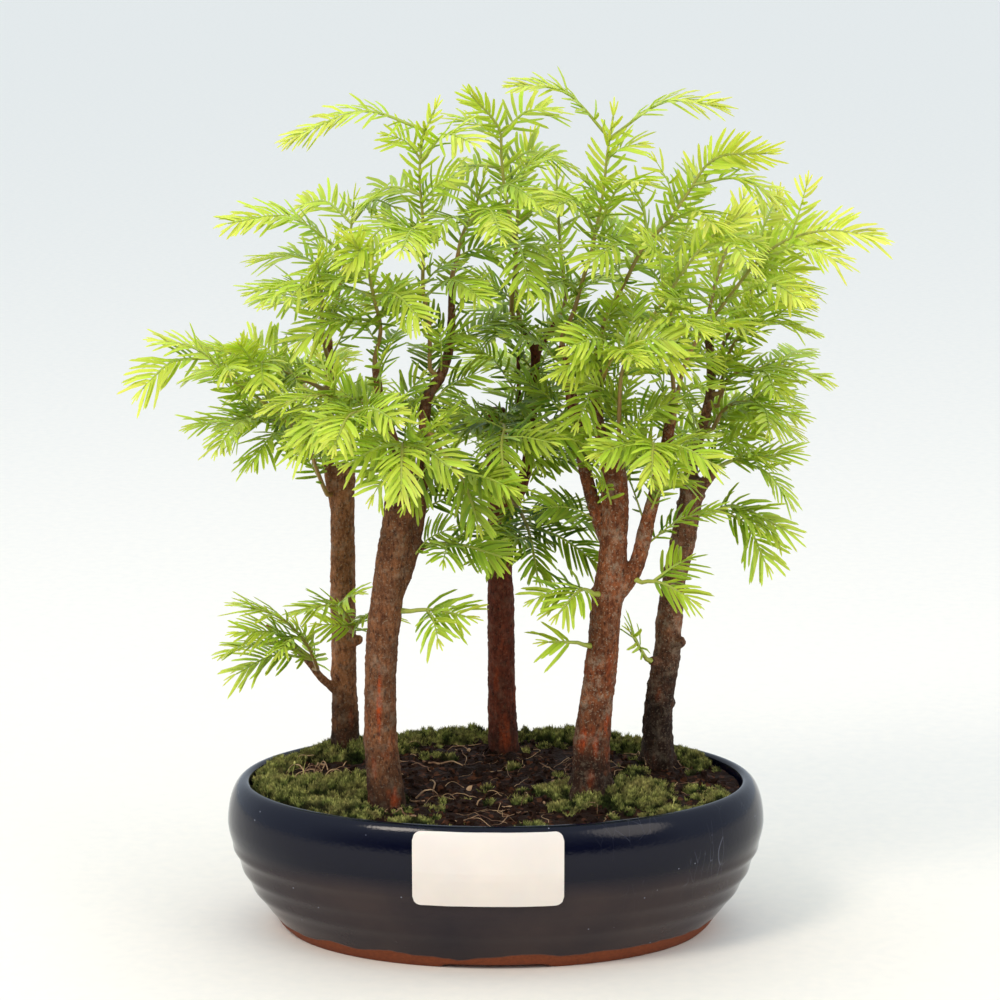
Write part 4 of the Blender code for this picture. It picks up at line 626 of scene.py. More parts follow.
def redwood_bark(name, main, dark, lichen, peel, damp):
    """Bark of a young redwood: matt brown with fine upright fibres, a grey bloom in patches, fresh orange
    where a strip came off, and a dark damp foot. Its short cracks and the furrows of its relief are darkened
    with painted shade. Cut ends show weathered wood."""
    wood = settings("wood")
    made, tree, shader, where = new_material(name, Roughness=0.85, Specular_IOR_Level=0.2)
    along = node(tree, "Mapping", {"Vector": where, "Scale": (1.0, 1.0, 0.5)})
    fibres = node(tree, "TexNoise", {"Vector": along, "Scale": per_mm(mm(wood.grain)), "Detail": 8.0,
                                     "Roughness": 0.68})
    tone = node(tree, "MapRange", {"Value": fibres, "From": (0.34, 0.6)})
    cloud = node(tree, "TexNoise", {"Vector": where, "Scale": per_mm(8), "Detail": 5.0, "Roughness": 0.6})
    shade = node(tree, "MapRange", {"Value": cloud, "From": (0.35, 0.65), "To": (0.45, 1.0)})
    light = node(tree, "Math", {0: tone, 1: shade}, operation="MULTIPLY")
    base = node(tree, "Mix", {"Factor": light, "A": linear(dark), "B": linear(main)}, data_type="RGBA")
    # Painted shade: the short cracks, which the bump sinks, and the furrows of the relief are darkened
    cracks = node(tree, "TexVoronoi", {"Vector": along, "Scale": per_mm(2.3)})
    crack = node(tree, "MapRange", {"Value": cracks, "From": (0.08, 0.22), "To": (0.8, 0.0)})
    furrow = node(tree, "Attribute", attribute_name="furrow").outputs["Fac"]
    line = node(tree, "Math", {0: furrow, 1: 0.35}, operation="MULTIPLY")
    deep = node(tree, "Math", {0: crack, 1: line}, operation="MAXIMUM")
    with_painted_groove_shade = node(tree, "Mix", {"Factor": deep, "A": base, "B": tuple(c * 0.4 for c in linear(dark))},
                   data_type="RGBA")
    fresh = node(tree, "TexNoise", {"Vector": along, "Scale": per_mm(5.5), "Detail": 4.0})
    peeled = node(tree, "MapRange", {"Value": fresh, "From": (0.58, 0.66), "To": (0.0, peel)})
    axes = node(tree, "SeparateXYZ", {"Vector": where}).outputs
    lower = node(tree, "MapRange", {"Value": axes["Z"], "From": (60 * MM, 105 * MM), "To": (1.0, 0.3)})
    bare = node(tree, "Math", {0: peeled, 1: lower}, operation="MULTIPLY")
    scar = node(tree, "Attribute", attribute_name="bare").outputs["Fac"]
    opened = node(tree, "Math", {0: bare, 1: scar}, operation="MAXIMUM")
    fresh_wood = node(tree, "Mix", {"Factor": tone, "A": linear("5c2010"), "B": wood.peel}, data_type="RGBA")
    warm = node(tree, "Mix", {"Factor": opened, "A": with_painted_groove_shade, "B": fresh_wood}, data_type="RGBA")
    bloom = node(tree, "TexNoise", {"Vector": where, "Scale": per_mm(4.6), "Detail": 8.0, "Roughness": 0.75})
    spots = node(tree, "MapRange", {"Value": bloom, "From": (0.51, 0.66), "To": (0.0, 1.1 * lichen)})
    speck = node(tree, "TexNoise", {"Vector": where, "Scale": per_mm(0.7), "Detail": 3.0})
    specks = node(tree, "MapRange", {"Value": speck, "From": (0.58, 0.68), "To": (0.0, 1.2 * lichen)})
    pale = node(tree, "Math", {0: spots, 1: specks}, operation="MAXIMUM")
    edge = node(tree, "Math", {0: cloud, 1: 26 * MM, 2: axes["Z"]}, operation="MULTIPLY_ADD")
    wet = node(tree, "MapRange", {"Value": edge, "From": (damp * MM, (damp + 28) * MM), "To": (0.9, 0.0)})
    open_dry = node(tree, "Math", {0: opened, 1: -0.7, 2: 1.0}, operation="MULTIPLY_ADD")
    soaked = node(tree, "Math", {0: wet, 1: open_dry}, operation="MULTIPLY")
    footed = node(tree, "Mix", {"Factor": soaked, "A": warm, "B": wood.damp}, data_type="RGBA")
    clean = node(tree, "Math", {0: soaked, 1: -0.65, 2: 1.0}, operation="MULTIPLY_ADD")
    bloomed = node(tree, "Math", {0: pale, 1: clean}, operation="MULTIPLY")
    mottled = node(tree, "Mix", {"Factor": bloomed, "A": footed, "B": wood.lichen}, data_type="RGBA")
    cut = node(tree, "Attribute", attribute_name="cut").outputs["Fac"]
    ended = node(tree, "Mix", {"Factor": cut, "A": mottled, "B": wood.cut}, data_type="RGBA")
    height = node(tree, "Math", {0: bloom, 1: 0.5, 2: fibres}, operation="MULTIPLY_ADD")
    relief = node(tree, "Math", {0: crack, 1: -0.5, 2: height}, operation="MULTIPLY_ADD")
    bump = node(tree, "Bump", {"Height": relief, "Distance": 0.7 * MM, "Strength": 0.8})
    plug(shader, {"Base Color": ended, "Normal": bump})
    return made


def living_needle():
    """A soft, thin deciduous needle: waxy enough for a weak gloss and so thin that light comes through it.
    Each needle has its own tone, and the tips of the shoots are yellow green. Painted light makes the needles
    darker deep in the crown and lighter at its top and outside."""
    leaf = settings("foliage")
    made, tree, shader, where = new_material("redwood needle", Roughness=0.42, IOR=1.4,
                                             Subsurface_Weight=0.45, Subsurface_Scale=1.0 * MM,
                                             Subsurface_Radius=(0.8, 1.0, 0.2), Specular_IOR_Level=0.4)
    young = node(tree, "Attribute", attribute_name="young").outputs["Fac"]
    tone = node(tree, "Attribute", attribute_name="tone").outputs["Fac"]
    # The young mark holds painted light as well as youth: low deep in the crown, high at its top and outside
    inner = node(tree, "MapRange", {"Value": young, "From": (0.0, 0.5)})
    outer = node(tree, "MapRange", {"Value": young, "From": (0.5, 1.0)})
    first = node(tree, "Mix", {"Factor": inner, "A": leaf.old, "B": leaf.grown}, data_type="RGBA")
    second = node(tree, "Mix", {"Factor": outer, "A": first, "B": leaf.young}, data_type="RGBA")
    hue = node(tree, "MapRange", {"Value": tone, "To": (0.484, 0.513)})
    value = node(tree, "MapRange", {"Value": tone, "To": (0.82, 1.15)})
    varied = node(tree, "HueSaturation", {"Hue": hue, "Value": value, "Color": second})
    vein = node(tree, "TexNoise", {"Vector": where, "Scale": per_mm(0.5), "Detail": 2.0})
    bump = node(tree, "Bump", {"Height": vein, "Distance": 0.05 * MM, "Strength": 0.4})
    plug(shader, {"Base Color": varied, "Normal": bump})
    return made


def young_stem():
    """A first-year stem: smooth and green at its tip, turning tan and fibrous at its base."""
    leaf = settings("foliage")
    made, tree, shader, where = new_material("young stem", Roughness=0.5, Subsurface_Weight=0.15,
                                             Subsurface_Scale=0.8 * MM)
    young = node(tree, "Attribute", attribute_name="young").outputs["Fac"]
    fibre = node(tree, "TexNoise", {"Vector": where, "Scale": per_mm(0.9), "Detail": 4.0})
    shift = node(tree, "Math", {0: fibre, 1: 0.35, 2: young}, operation="MULTIPLY_ADD")
    turn = node(tree, "MapRange", {"Value": shift, "From": (0.3, 0.85)})
    colour = node(tree, "Mix", {"Factor": turn, "A": leaf.twig, "B": leaf.stem}, data_type="RGBA")
    bump = node(tree, "Bump", {"Height": fibre, "Distance": 0.15 * MM, "Strength": 0.5})
    plug(shader, {"Base Color": colour, "Normal": bump})
    return made


def studio_floor():
    """Matt pale laminate with a hardly visible grain."""
    made, tree, shader, where = new_material("pale floor", Roughness=0.75)
    grain = node(tree, "TexNoise", {"Vector": where, "Scale": per_mm(5), "Detail": 5.0})
    colour = node(tree, "Mix", {"Factor": grain, "A": settings("stage").floor, "B": linear("ece7de")},
                  data_type="RGBA")
    plug(shader, {"Base Color": colour})
    return made


def soft_surround():
    """Light from all round: pale blue white overhead, and darker low down, most of all at the front, which
    is the dark side of a studio that a glossy glaze mirrors."""
    stage = settings("stage")
    world = bpy.data.worlds.new("studio")
    world.use_nodes = True
    tree = world.node_tree
    where = node(tree, "TexCoord").outputs["Generated"]
    axes = node(tree, "SeparateXYZ", {"Vector": where}).outputs
    rise = node(tree, "MapRange", {"Value": axes["Z"], "From": (0.1, 0.6)})
    front = node(tree, "MapRange", {"Value": axes["Y"], "From": (-0.8, -0.3), "To": (0.08, 0.8)})
    low = node(tree, "Mix", {"Factor": front, "A": (0.0, 0.0, 0.0), "B": stage.sky}, data_type="RGBA")
    sky = node(tree, "Mix", {"Factor": rise, "A": low, "B": stage.sky}, data_type="RGBA")
    plug(tree.nodes["Background"], {"Color": sky, "Strength": stage.light})
    return world


# Shapes


def noise(points, size, seed=0):
    """Smooth noise from -1 to 1 at points, with lumps of about the given size, in millimetres."""
    scaled = np.asarray(points, float) / size + seed * 17.31
    cell = np.floor(scaled).astype(np.int64)
    part = scaled - cell
    part = part * part * (3 - 2 * part)
    total = np.zeros(len(scaled))
    for corner in np.ndindex(2, 2, 2):
        x, y, z = (cell + corner).T
        key = (x * 73856093) ^ (y * 19349663) ^ (z * 83492791)
        key = (key ^ (key >> 13)) * 1274126177 & 0xFFFFFFFF
        key = (key ^ (key >> 15)) & 0xFFFF
        weight = np.prod(np.where(corner, part, 1 - part), axis=1)
        total += weight * key / 0xFFFF
    return 2 * total - 1


def place(name, points, faces, finishes, replaced=(), parts=None, marks=None, sharp_degrees=50):
    """A piece of the planting: points in the tray's millimetres, made a mesh in metres in the model's frame.
    parts gives each face's material, and marks holds a number for each point under each attribute's name."""
    mesh = bpy.data.meshes.new(name)
    where = (np.asarray(points, float) + TRAY_OFFSET) * MM
    mesh.from_pydata(where.tolist(), [], [tuple(face) for face in faces])
    obj = bpy.data.objects.new(name, mesh)
    bpy.context.collection.objects.link(obj)
    for finish in finishes:
        mesh.materials.append(finish)
    if parts is not None:
        mesh.polygons.foreach_set("material_index", np.asarray(parts, np.int32))
    for key, values in (marks or {}).items():
        attribute = mesh.attributes.new(key, "FLOAT", "POINT")
        attribute.data.foreach_set("value", np.asarray(values, np.float32))
    mesh.shade_smooth()
    mesh.set_sharp_from_angle(angle=math.radians(sharp_degrees))
    mesh.update()
    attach(obj, "root")
    if replaced:
        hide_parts(*replaced)
    return obj


def grid_faces(rows, columns, wrap=True):
    """Quads over a grid of points in rows, closed round each row when wrapped."""
    i, j = np.meshgrid(np.arange(rows - 1), np.arange(columns if wrap else columns - 1), indexing="ij")
    k = (j + 1) % columns
    quads = np.stack([i * columns + j, i * columns + k, (i + 1) * columns + k, (i + 1) * columns + j], -1)
    return quads.reshape(-1, 4)


def closed_faces(rows, columns):
    """Quads over rings of points, with a cap at either end."""
    last = (rows - 1) * columns
    caps = [list(range(columns - 1, -1, -1)), list(range(last, last + columns))]
    return grid_faces(rows, columns).tolist() + caps


def smooth_path(points, step=1.0):
    """A smooth curve through the points, as rows about one step apart. A radius column is blended too."""
    rows = np.array(points, float)
    span = np.linalg.norm(np.diff(rows[:, :3], axis=0), axis=1)
    at = np.concatenate([[0], np.cumsum(np.maximum(span, 1e-6) ** 0.75)])
    slope = np.empty_like(rows)
    slope[1:-1] = (rows[2:] - rows[:-2]) / (at[2:] - at[:-2])[:, None]
    slope[0] = (rows[1] - rows[0]) / (at[1] - at[0])
    slope[-1] = (rows[-1] - rows[-2]) / (at[-1] - at[-2])
    made = [rows[0]]
    for i, length in enumerate(span):
        gap = at[i + 1] - at[i]
        count = max(1, round(length / step))
        for k in range(1, count + 1):
            t = k / count
            a, b = 2 * t**3 - 3 * t**2 + 1, t**3 - 2 * t**2 + t
            c, d = 3 * t**2 - 2 * t**3, t**3 - t**2
            made.append(a * rows[i] + b * gap * slope[i] + c * rows[i + 1] + d * gap * slope[i + 1])
    return np.array(made)


class Path:
    """A curve that can be asked for its point and direction at a distance along it."""

    def __init__(self, rows):
        self.rows = rows[:, :3]
        steps = np.linalg.norm(np.diff(self.rows, axis=0), axis=1)
        self.at = np.concatenate([[0], np.cumsum(steps)])
        self.length = float(self.at[-1])

    def point(self, s):
        return Vector([np.interp(s, self.at, self.rows[:, k]) for k in range(3)])

    def direction(self, s):
        reach = 0.8
        return (self.point(min(self.length, s + reach)) - self.point(max(0.0, s - reach))).normalized()


def frames(rows, side):
    """Direction, side and upper vectors at each point of a curve, turned as little as possible."""
    along = np.gradient(rows[:, :3], axis=0)
    along /= np.linalg.norm(along, axis=1)[:, None]
    across = np.empty_like(along)
    last = np.array(side, float)
    for i, direction in enumerate(along):
        last = last - direction * (last @ direction)
        last /= np.linalg.norm(last)
        across[i] = last
    return along, across, np.cross(along, across)


def tube(rows, sides, side=(1, 0, 0)):
    """Points and faces of a closed tube along rows of x, y, z and radius."""
    rows = np.asarray(rows, float)
    _, across, upper = frames(rows, side)
    turn = 2 * math.pi * np.arange(sides) / sides
    ring = across[:, None] * np.cos(turn)[None, :, None] + upper[:, None] * np.sin(turn)[None, :, None]
    points = rows[:, None, :3] + ring * rows[:, 3][:, None, None]
    return points.reshape(-1, 3), closed_faces(len(rows), sides)


def oval(radius, sides, inset=0.0):
    """Points of an oval like the tray's, with its radius along X, drawn in by the inset all round."""
    turn = 2 * math.pi * np.arange(sides) / sides
    return np.stack([(radius - inset) * np.cos(turn), (radius * TRAY_RATIO - inset) * np.sin(turn)], 1)


def lip_share(x, y):
    """How far out from the tray's middle a place is, from 0 to 1 at the lip."""
    return np.hypot(x / LIP_RADIUS, y / (LIP_RADIUS * TRAY_RATIO))


def somewhere(rng, radius):
    """A random place on the soil, inside an oval of this radius along X."""
    ring = oval(radius * math.sqrt(rng.random()), 360)
    return ring[rng.integers(360)].tolist()


def mound(x, y):
    """Height of the smooth soil surface: it rises inwards from the lip, and more so towards the back."""
    back = np.clip((y - SOIL_RISE_FROM) / SOIL_RISE_OVER, 0, 1)
    rise = SOIL_RISE_FRONT + (SOIL_RISE_BACK - SOIL_RISE_FRONT) * back
    return SOIL_EDGE + rise * np.maximum(0.0, 1 - lip_share(x, y) ** 4)


def crumb(x, y):
    """A fixed unevenness from 0 to 1 at a place on the soil."""
    wave = np.sin(0.61 * x + 1.7) * np.cos(0.53 * y) + np.sin(0.37 * x - 0.71 * y + 0.4)
    return 0.5 + 0.25 * wave


def soil_height(x, y):
    """Height of the rough soil surface."""
    flat = np.stack([x, y, np.zeros_like(x)], 1)
    rough = 0.75 * noise(flat, 5.5, 3) + 0.45 * noise(flat, 2.4, 4) + 0.3 * noise(flat, 1.2, 5)
    calm = np.clip((1 - lip_share(x, y) ** 2) / 0.06, 0.15, 1)
    return mound(x, y) - SOIL_CRUMB * crumb(x, y) * calm + (rough + 0.3) * calm


def soil_at(x, y):
    """Height of the rough soil surface at one place."""
    return soil_height(np.array([x]), np.array([y]))[0]


def arc(centre, radius, start_degrees, end_degrees, steps):
    """Points of radius and height along part of a circle."""
    turn = np.radians(np.linspace(start_degrees, end_degrees, steps + 1))
    return [(centre[0] + radius * math.cos(t), centre[1] + radius * math.sin(t)) for t in turn]


def through(points, step):
    """A smooth profile through points of radius and height."""
    return smooth_path([(radius, 0, height) for radius, height in points], step)[:, [0, 2]]


def ridged(profile, ridge):
    """The outside of the body with its soft throwing ridges."""
    radius, height = profile.T
    for level, strength in ((28.0, 1.0), (20.5, 0.8), (13.6, 0.6)):
        radius = radius + ridge * strength * np.exp(-(((height - level) / 1.5) ** 2))
        radius = radius - 0.5 * ridge * strength * np.exp(-(((height - level + 3.2) / 1.8) ** 2))
    return np.stack([radius, height], 1)


def shoulder(steps):
    """The outside of the rim, which leans in more and more towards its top, as the end of an egg does."""
    middle, low, wide = SHOULDER
    turn = np.radians(np.linspace(0, 90, steps + 1))[1:]
    return list(zip(middle + wide * np.cos(turn), low + (RIM_TOP - low) * np.sin(turn)))


def tray_section(ridge):
    """Radius and height from the recess under the foot, up the outside, over the rim and down inside."""
    under = [(FOOT_RECESS_RADIUS - 1.5, FOOT_RECESS_TOP), (FOOT_RECESS_RADIUS - 0.4, 0.5),
             (FOOT_RECESS_RADIUS + 0.3, 0.0), (68.5, 0.0), (72.4, 0.0)]
    body = ridged(through([(73.0, 0.5)] + BODY_PROFILE[1:], 0.9), ridge)
    outer = shoulder(16)
    inner = arc((86.3, RIM_TOP - 1.7), 1.7, 100, 180, 5)
    inside = through([(84.6, RIM_TOP - 2.4)] + INSIDE_PROFILE[1:], 2.5)
    return np.array([*under, *body, *outer, *inner, *inside])


def notch(x):
    """Height of the shallow cut through the foot ring at the front and back."""
    side = np.clip((NOTCH_HALF_WIDTH + 2.5 - np.abs(x)) / 4.0, 0, 1)
    return NOTCH_HEIGHT * side * side * (3 - 2 * side)


def cutter(x, radius):
    """The upright cylinder that cuts a drain hole."""
    bm = bmesh.new()
    bmesh.ops.create_cone(bm, segments=40, radius1=radius, radius2=radius, depth=30, cap_ends=True)
    bmesh.ops.translate(bm, vec=(x, 0, 0), verts=bm.verts)
    bmesh.ops.translate(bm, vec=tuple(TRAY_OFFSET), verts=bm.verts)
    bmesh.ops.scale(bm, vec=(MM, MM, MM), verts=bm.verts)
    mesh = bpy.data.meshes.new("drill")
    bm.to_mesh(mesh)
    bm.free()
    drill = bpy.data.objects.new("drill", mesh)
    bpy.context.collection.objects.link(drill)
    return drill


def settle(obj):
    """Applies the modifiers of an object to its mesh."""
    graph = bpy.context.evaluated_depsgraph_get()
    mesh = bpy.data.meshes.new_from_object(obj.evaluated_get(graph))
    obj.modifiers.clear()
    old, obj.data = obj.data, mesh
    bpy.data.meshes.remove(old)
    return mesh


def tag_point(x, z, lift):
    """Points on the tray's front, raised off it by the lift."""
    outline = np.array(BODY_PROFILE + shoulder(16))
    radius = np.interp(z, outline[:, 1], outline[:, 0]) + lift / TRAY_RATIO
    return np.stack([x, -TRAY_RATIO * np.sqrt(radius**2 - x**2), z], -1)


def outline_lobes(angle, seed):
    """The uneven edge of a cushion as a share of its size in each direction."""
    lobe = 1 + 0.09 * np.sin(3 * angle + seed) + 0.06 * np.sin(5 * angle + 2 * seed)
    return lobe * (1 + 0.05 * np.sin(11 * angle + seed) + 0.035 * np.sin(23 * angle + 3 * seed))


def turned(x, y, degrees):
    """Coordinates turned round the origin."""
    cos_turn, sin_turn = math.cos(math.radians(degrees)), math.sin(math.radians(degrees))
    return x * cos_turn - y * sin_turn, x * sin_turn + y * cos_turn


def moss_share(row, x, y):
    """How far out of a cushion a place is: 0 in its middle and 1 on its lobed edge."""
    x0, y0, along, across, turn, _, seed = row
    u, v = turned(x - x0, y - y0, -turn)
    u, v = u / along, v / across
    return np.hypot(u, v) / outline_lobes(np.arctan2(v, u), seed)


def inside_lip(x, y, share=0.975):
    """Draws places near the wall in to the given share of the lip."""
    shrink = np.minimum(1.0, share / np.maximum(lip_share(x, y), 1e-6))
    return x * shrink, y * shrink


def clumps(row, rng):
    """Middles of the small clumps that a cushion of moss is made of."""
    x0, y0, along, across, turn = row[:5]
    count = max(1, round(math.pi * along * across / CLUMP_AREA))
    u, v = rng.uniform(-1.1, 1.1, (2, 2 * count))
    x, y = turned(u * along, v * across, turn)
    return np.stack([x0 + x, y0 + y], 1)


def on_clump(middles, x, y):
    """How high on its clump a place is: 1 at its middle and 0 in the gaps between clumps."""
    apart = np.hypot(x[:, None] - middles[None, :, 0], y[:, None] - middles[None, :, 1]).min(axis=1)
    return np.clip(1 - (apart / CLUMP_RADIUS) ** 2, 0, 1)


def pocket(x, y):
    """How far a place is inside the hollow of the moss, from 0 outside it to 1."""
    return np.clip(2.6 - 2 * np.hypot((x - POCKET[0]) / POCKET[2], (y - POCKET[1]) / POCKET[3]), 0, 1)


def capsule(x, y, height):
    """A thin stalk with a round spore capsule on it."""
    foot = mound(x, y) + 1.5
    lean = 0.18 * height
    rows = [(x, y, foot, 0.14), (x + 0.3 * lean, y, foot + 0.5 * height, 0.12),
            (x + lean, y, foot + height, 0.12), (x + 1.05 * lean, y, foot + height + 0.4, 0.42),
            (x + 1.1 * lean, y, foot + height + 0.9, 0.46), (x + 1.2 * lean, y, foot + height + 1.6, 0.1)]
    points, faces = tube(rows, 7)
    return points, faces, np.full(len(points), 0.8)


def cushion_height(row, share, middles, x, y):
    """Height of a cushion's skin over the soil."""
    flat = np.stack([x, y, np.zeros_like(x)], 1)
    dome = np.clip(1 - share**3.2, 0, 1) ** 0.6 * (1 - pocket(x, y))
    rise = row[5] * (0.62 + 0.2 * noise(flat, 7, row[6])) + min(2.2, 0.5 * row[5]) * on_clump(middles, x, y)
    return dome * (rise + 0.35 * noise(flat, 1.3, row[6] + 20))


def cushion(row, tuft, rng):
    """One cushion: its skin, closed under the soil, and a pelt of pointed leaves standing on it."""
    x0, y0, along, across, turn, _, seed = row
    middles = clumps(row, rng)
    rings = max(3, round(min(along, across) / 0.8))
    sides = max(12, round(2 * math.pi * along / 1.3))
    angle = 2 * math.pi * np.arange(sides) / sides
    edge = outline_lobes(angle, seed)
    points = []
    for k in range(rings + 1):
        share = max(0.02, 1 - k / rings)
        x, y = turned(along * share * edge * np.cos(angle), across * share * edge * np.sin(angle), turn)
        x, y = inside_lip(x0 + x, y0 + y)
        rise = cushion_height(row, np.full(sides, share), middles, x, y)
        points.append(np.stack([x, y, mound(x, y) - 0.6 - 1.6 * pocket(x, y) + rise], 1))
    foot = points[0].copy()
    foot[:, 2] -= 1.0
    skin = np.vstack([foot, *points])
    high = np.clip(on_clump(middles, skin[:, 0], skin[:, 1]), 0, 1)
    faces = closed_faces(rings + 2, sides)
    # Leaves
    count = round(math.pi * along * across * LEAVES_PER_AREA)
    reach = 1.15 * max(along, across)
    x, y = x0 + rng.uniform(-reach, reach, 5 * count), y0 + rng.uniform(-reach, reach, 5 * count)
    share = moss_share(row, x, y)
    keep = np.flatnonzero((share < 1.0) & (lip_share(x, y) < 0.985) & (pocket(x, y) < 0.3))[:count]
    x, y, share = x[keep], y[keep], share[keep]
    raised = on_clump(middles, x, y)
    root = np.stack([x, y, mound(x, y) - 0.85 + cushion_height(row, share, middles, x, y)], 1)
    out = rng.normal(0, 0.42, (len(keep), 3))
    out[:, 2] = 1
    out[:, :2] += 0.5 * (root[:, :2] - (x0, y0)) / max(along, across)
    out /= np.linalg.norm(out, axis=1)[:, None]
    length = tuft * rng.uniform(0.7, 1.35, len(keep))
    twist = rng.uniform(0, 2 * math.pi, len(keep))
    corners = []
    for i in range(3):
        t = twist + 2 * math.pi * i / 3
        corners.append(root + MOSS_LEAF_RADIUS * np.stack([np.cos(t), np.sin(t), np.zeros_like(t)], 1))
    leaves = np.stack([*corners, root + out * length[:, None]], 1).reshape(-1, 3)
    start = len(skin)
    first = start + 4 * np.arange(len(keep))
    for a, b, c in ((0, 1, 3), (1, 2, 3), (2, 0, 3), (2, 1, 0)):
        faces += np.stack([first + a, first + b, first + c], 1).tolist()
    # The tip mark holds painted light and shade: leaf tips and skin are lighter on top of the clumps and
    # darker in the gaps between them. Each leaf is also lighter at its tip than at its root.
    fresh = (0.12 + 0.88 * raised) * rng.uniform(0.6, 1.0, len(keep))
    low = 0.02 + 0.2 * raised
    tip = np.concatenate([0.04 + 0.25 * high, np.stack([low, low, low, fresh], 1).ravel()])
    return np.vstack([skin, leaves]), faces, tip


def moss_crumbs(rng):
    """Small clumps of moss on the soil round the cushions."""
    made = []
    while len(made) < settings("ground").clumps:
        x, y = somewhere(rng, 80)
        near = min(moss_share(row, x, y) for row in (*MOSS.values(), *MOSS_PATCHES))
        if 0.9 < near < 1.6 or (near >= 1.6 and rng.random() < 0.1):
            size = rng.uniform(1.2, 3.0)
            across, turn = size * rng.uniform(0.6, 1.0), rng.uniform(0, 180)
            made.append((x, y, size, across, turn, 0.5 * size, len(made)))
    return made


def merged(shapes):
    """One list of points and of faces from several shapes, and one of their marks if they have any."""
    points, faces, marks = [], [], []
    start = 0
    for some_points, some_faces, *some_marks in shapes:
        points.append(some_points)
        faces += [[index + start for index in face] for face in some_faces]
        marks += some_marks
        start += len(some_points)
    made = np.vstack(points), faces
    return (*made, np.concatenate(marks)) if marks else made


def chunk(rng, size):
    """A small irregular lump with about the given size across."""
    bm = bmesh.new()
    bmesh.ops.create_icosphere(bm, subdivisions=1, radius=0.5)
    points = np.array([vert.co for vert in bm.verts])
    faces = [[vert.index for vert in face.verts] for face in bm.faces]
    bm.free()
    stretch = rng.uniform(0.55, 1.35, 3) * size
    points = points * stretch * rng.uniform(0.72, 1.2, (len(points), 1))
    turn = rng.normal(size=(3, 3))
    turn, _ = np.linalg.qr(turn)
    if np.linalg.det(turn) < 0:
        turn[:, 0] *= -1
    return points @ turn.T, faces


def root_fibre(rng, x, y, heading, length, radius, lift):
    """A fine root that wanders over the soil and arches free of it, in a list that is empty where it jams."""
    count = max(5, round(length / ROOT_STEP))
    rows = []
    for i in range(count):
        share = i / (count - 1)
        z = soil_at(x, y) + 0.2 + lift * math.sin(math.pi * share)
        rows.append((x, y, z, radius * (1 - 0.65 * share)))
        heading += rng.normal(0, 0.35)
        x, y = inside_lip(x + ROOT_STEP * math.cos(heading), y + ROOT_STEP * math.sin(heading), 0.95)
    rows = np.array(rows)
    if np.linalg.norm(np.diff(rows[:, :3], axis=0), axis=1).min() < 0.1:
        return []
    return [tube(smooth_path(rows, 0.9), 5)]


def loose_crumbs(rng, count):
    """Crumbs of soil that lie on its surface."""
    bits = []
    for _ in range(count):
        x, y = somewhere(rng, 80)
        size = rng.gamma(3.0, 0.38) + 0.3
        points, triangles = chunk(rng, min(size, 3.4))
        bits.append((points + (x, y, soil_at(x, y) + 0.18 * size), triangles))
    return merged(bits)


def loose_roots(rng, count):
    """Fine roots all over the soil, a nest of them in the moss's hollow, and a few pale chips of wood."""
    fibres = []
    for number in range(count):
        x, y = somewhere(rng, 74)
        length = rng.uniform(7, 24)
        lift = rng.choice([0.3, 0.8, 2.6], p=[0.55, 0.3, 0.15])
        radius = rng.uniform(0.08, 0.19) + (0.2 if number % 9 == 0 else 0)
        fibres += root_fibre(rng, x, y, rng.uniform(0, 2 * math.pi), length, radius, lift)
    for _ in range(9):
        x, y = POCKET[0] + rng.uniform(-6, 6), POCKET[1] + rng.uniform(-4, 4)
        heading, lift = rng.uniform(0, 2 * math.pi), rng.uniform(1.5, 5.5)
        fibres += root_fibre(rng, x, y, heading, rng.uniform(7, 11), rng.uniform(0.18, 0.3), lift)
    for _ in range(6):
        x, y = somewhere(rng, 70)
        points, triangles = chunk(rng, rng.uniform(1.2, 2.6))
        fibres.append((points + (x, y, soil_at(x, y) + 0.5), triangles))
    return merged(fibres)


def wood_curve(tree, part, step=1.6):
    """The smoothed rows of a piece of wood; a trunk starts below the soil and spreads at its foot."""
    rows = TREES[tree][part]
    if part != "trunk":
        return smooth_path(rows, step)
    curve = smooth_path(rows[1:], step)
    buried = np.array([rows[0]], float)
    buried[0, 2] = 44.0
    curve = np.vstack([buried, curve])
    spread = np.clip((62 - curve[:, 2]) / 14, 0, 1)
    curve[:, 3] *= 1 + 0.07 * spread**2
    return curve


def fused(tubes, voxel):
    """One skin round several tubes, with soft joints, as points, normals and faces."""
    points, faces = merged(tubes)
    mesh = bpy.data.meshes.new("wood")
    mesh.from_pydata(points.tolist(), [], faces)
    obj = bpy.data.objects.new("wood", mesh)
    bpy.context.collection.objects.link(obj)
    remesh = obj.modifiers.new("Remesh", "REMESH")
    remesh.mode = "VOXEL"
    remesh.voxel_size = voxel
    soften = obj.modifiers.new("Smooth", "SMOOTH")
    soften.factor = 0.5
    soften.iterations = 3
    mesh = settle(obj)
    points = np.empty(3 * len(mesh.vertices))
    normals = np.empty(3 * len(mesh.vertices))
    mesh.vertices.foreach_get("co", points)
    mesh.vertices.foreach_get("normal", normals)
    faces = [tuple(face.vertices) for face in mesh.polygons]
    bpy.data.objects.remove(obj, do_unlink=True)
    bpy.data.meshes.remove(mesh)
    return points.reshape(-1, 3), normals.reshape(-1, 3), faces


def nearest_rows(points, rows):
    """For each point the index of the nearest row."""
    found = np.empty(len(points), int)
    for first in range(0, len(points), 4000):
        some = points[first : first + 4000]
        apart = ((some[:, None] - rows[None, :, :3]) ** 2).sum(axis=2)
        found[first : first + 4000] = apart.argmin(axis=1)
    return found


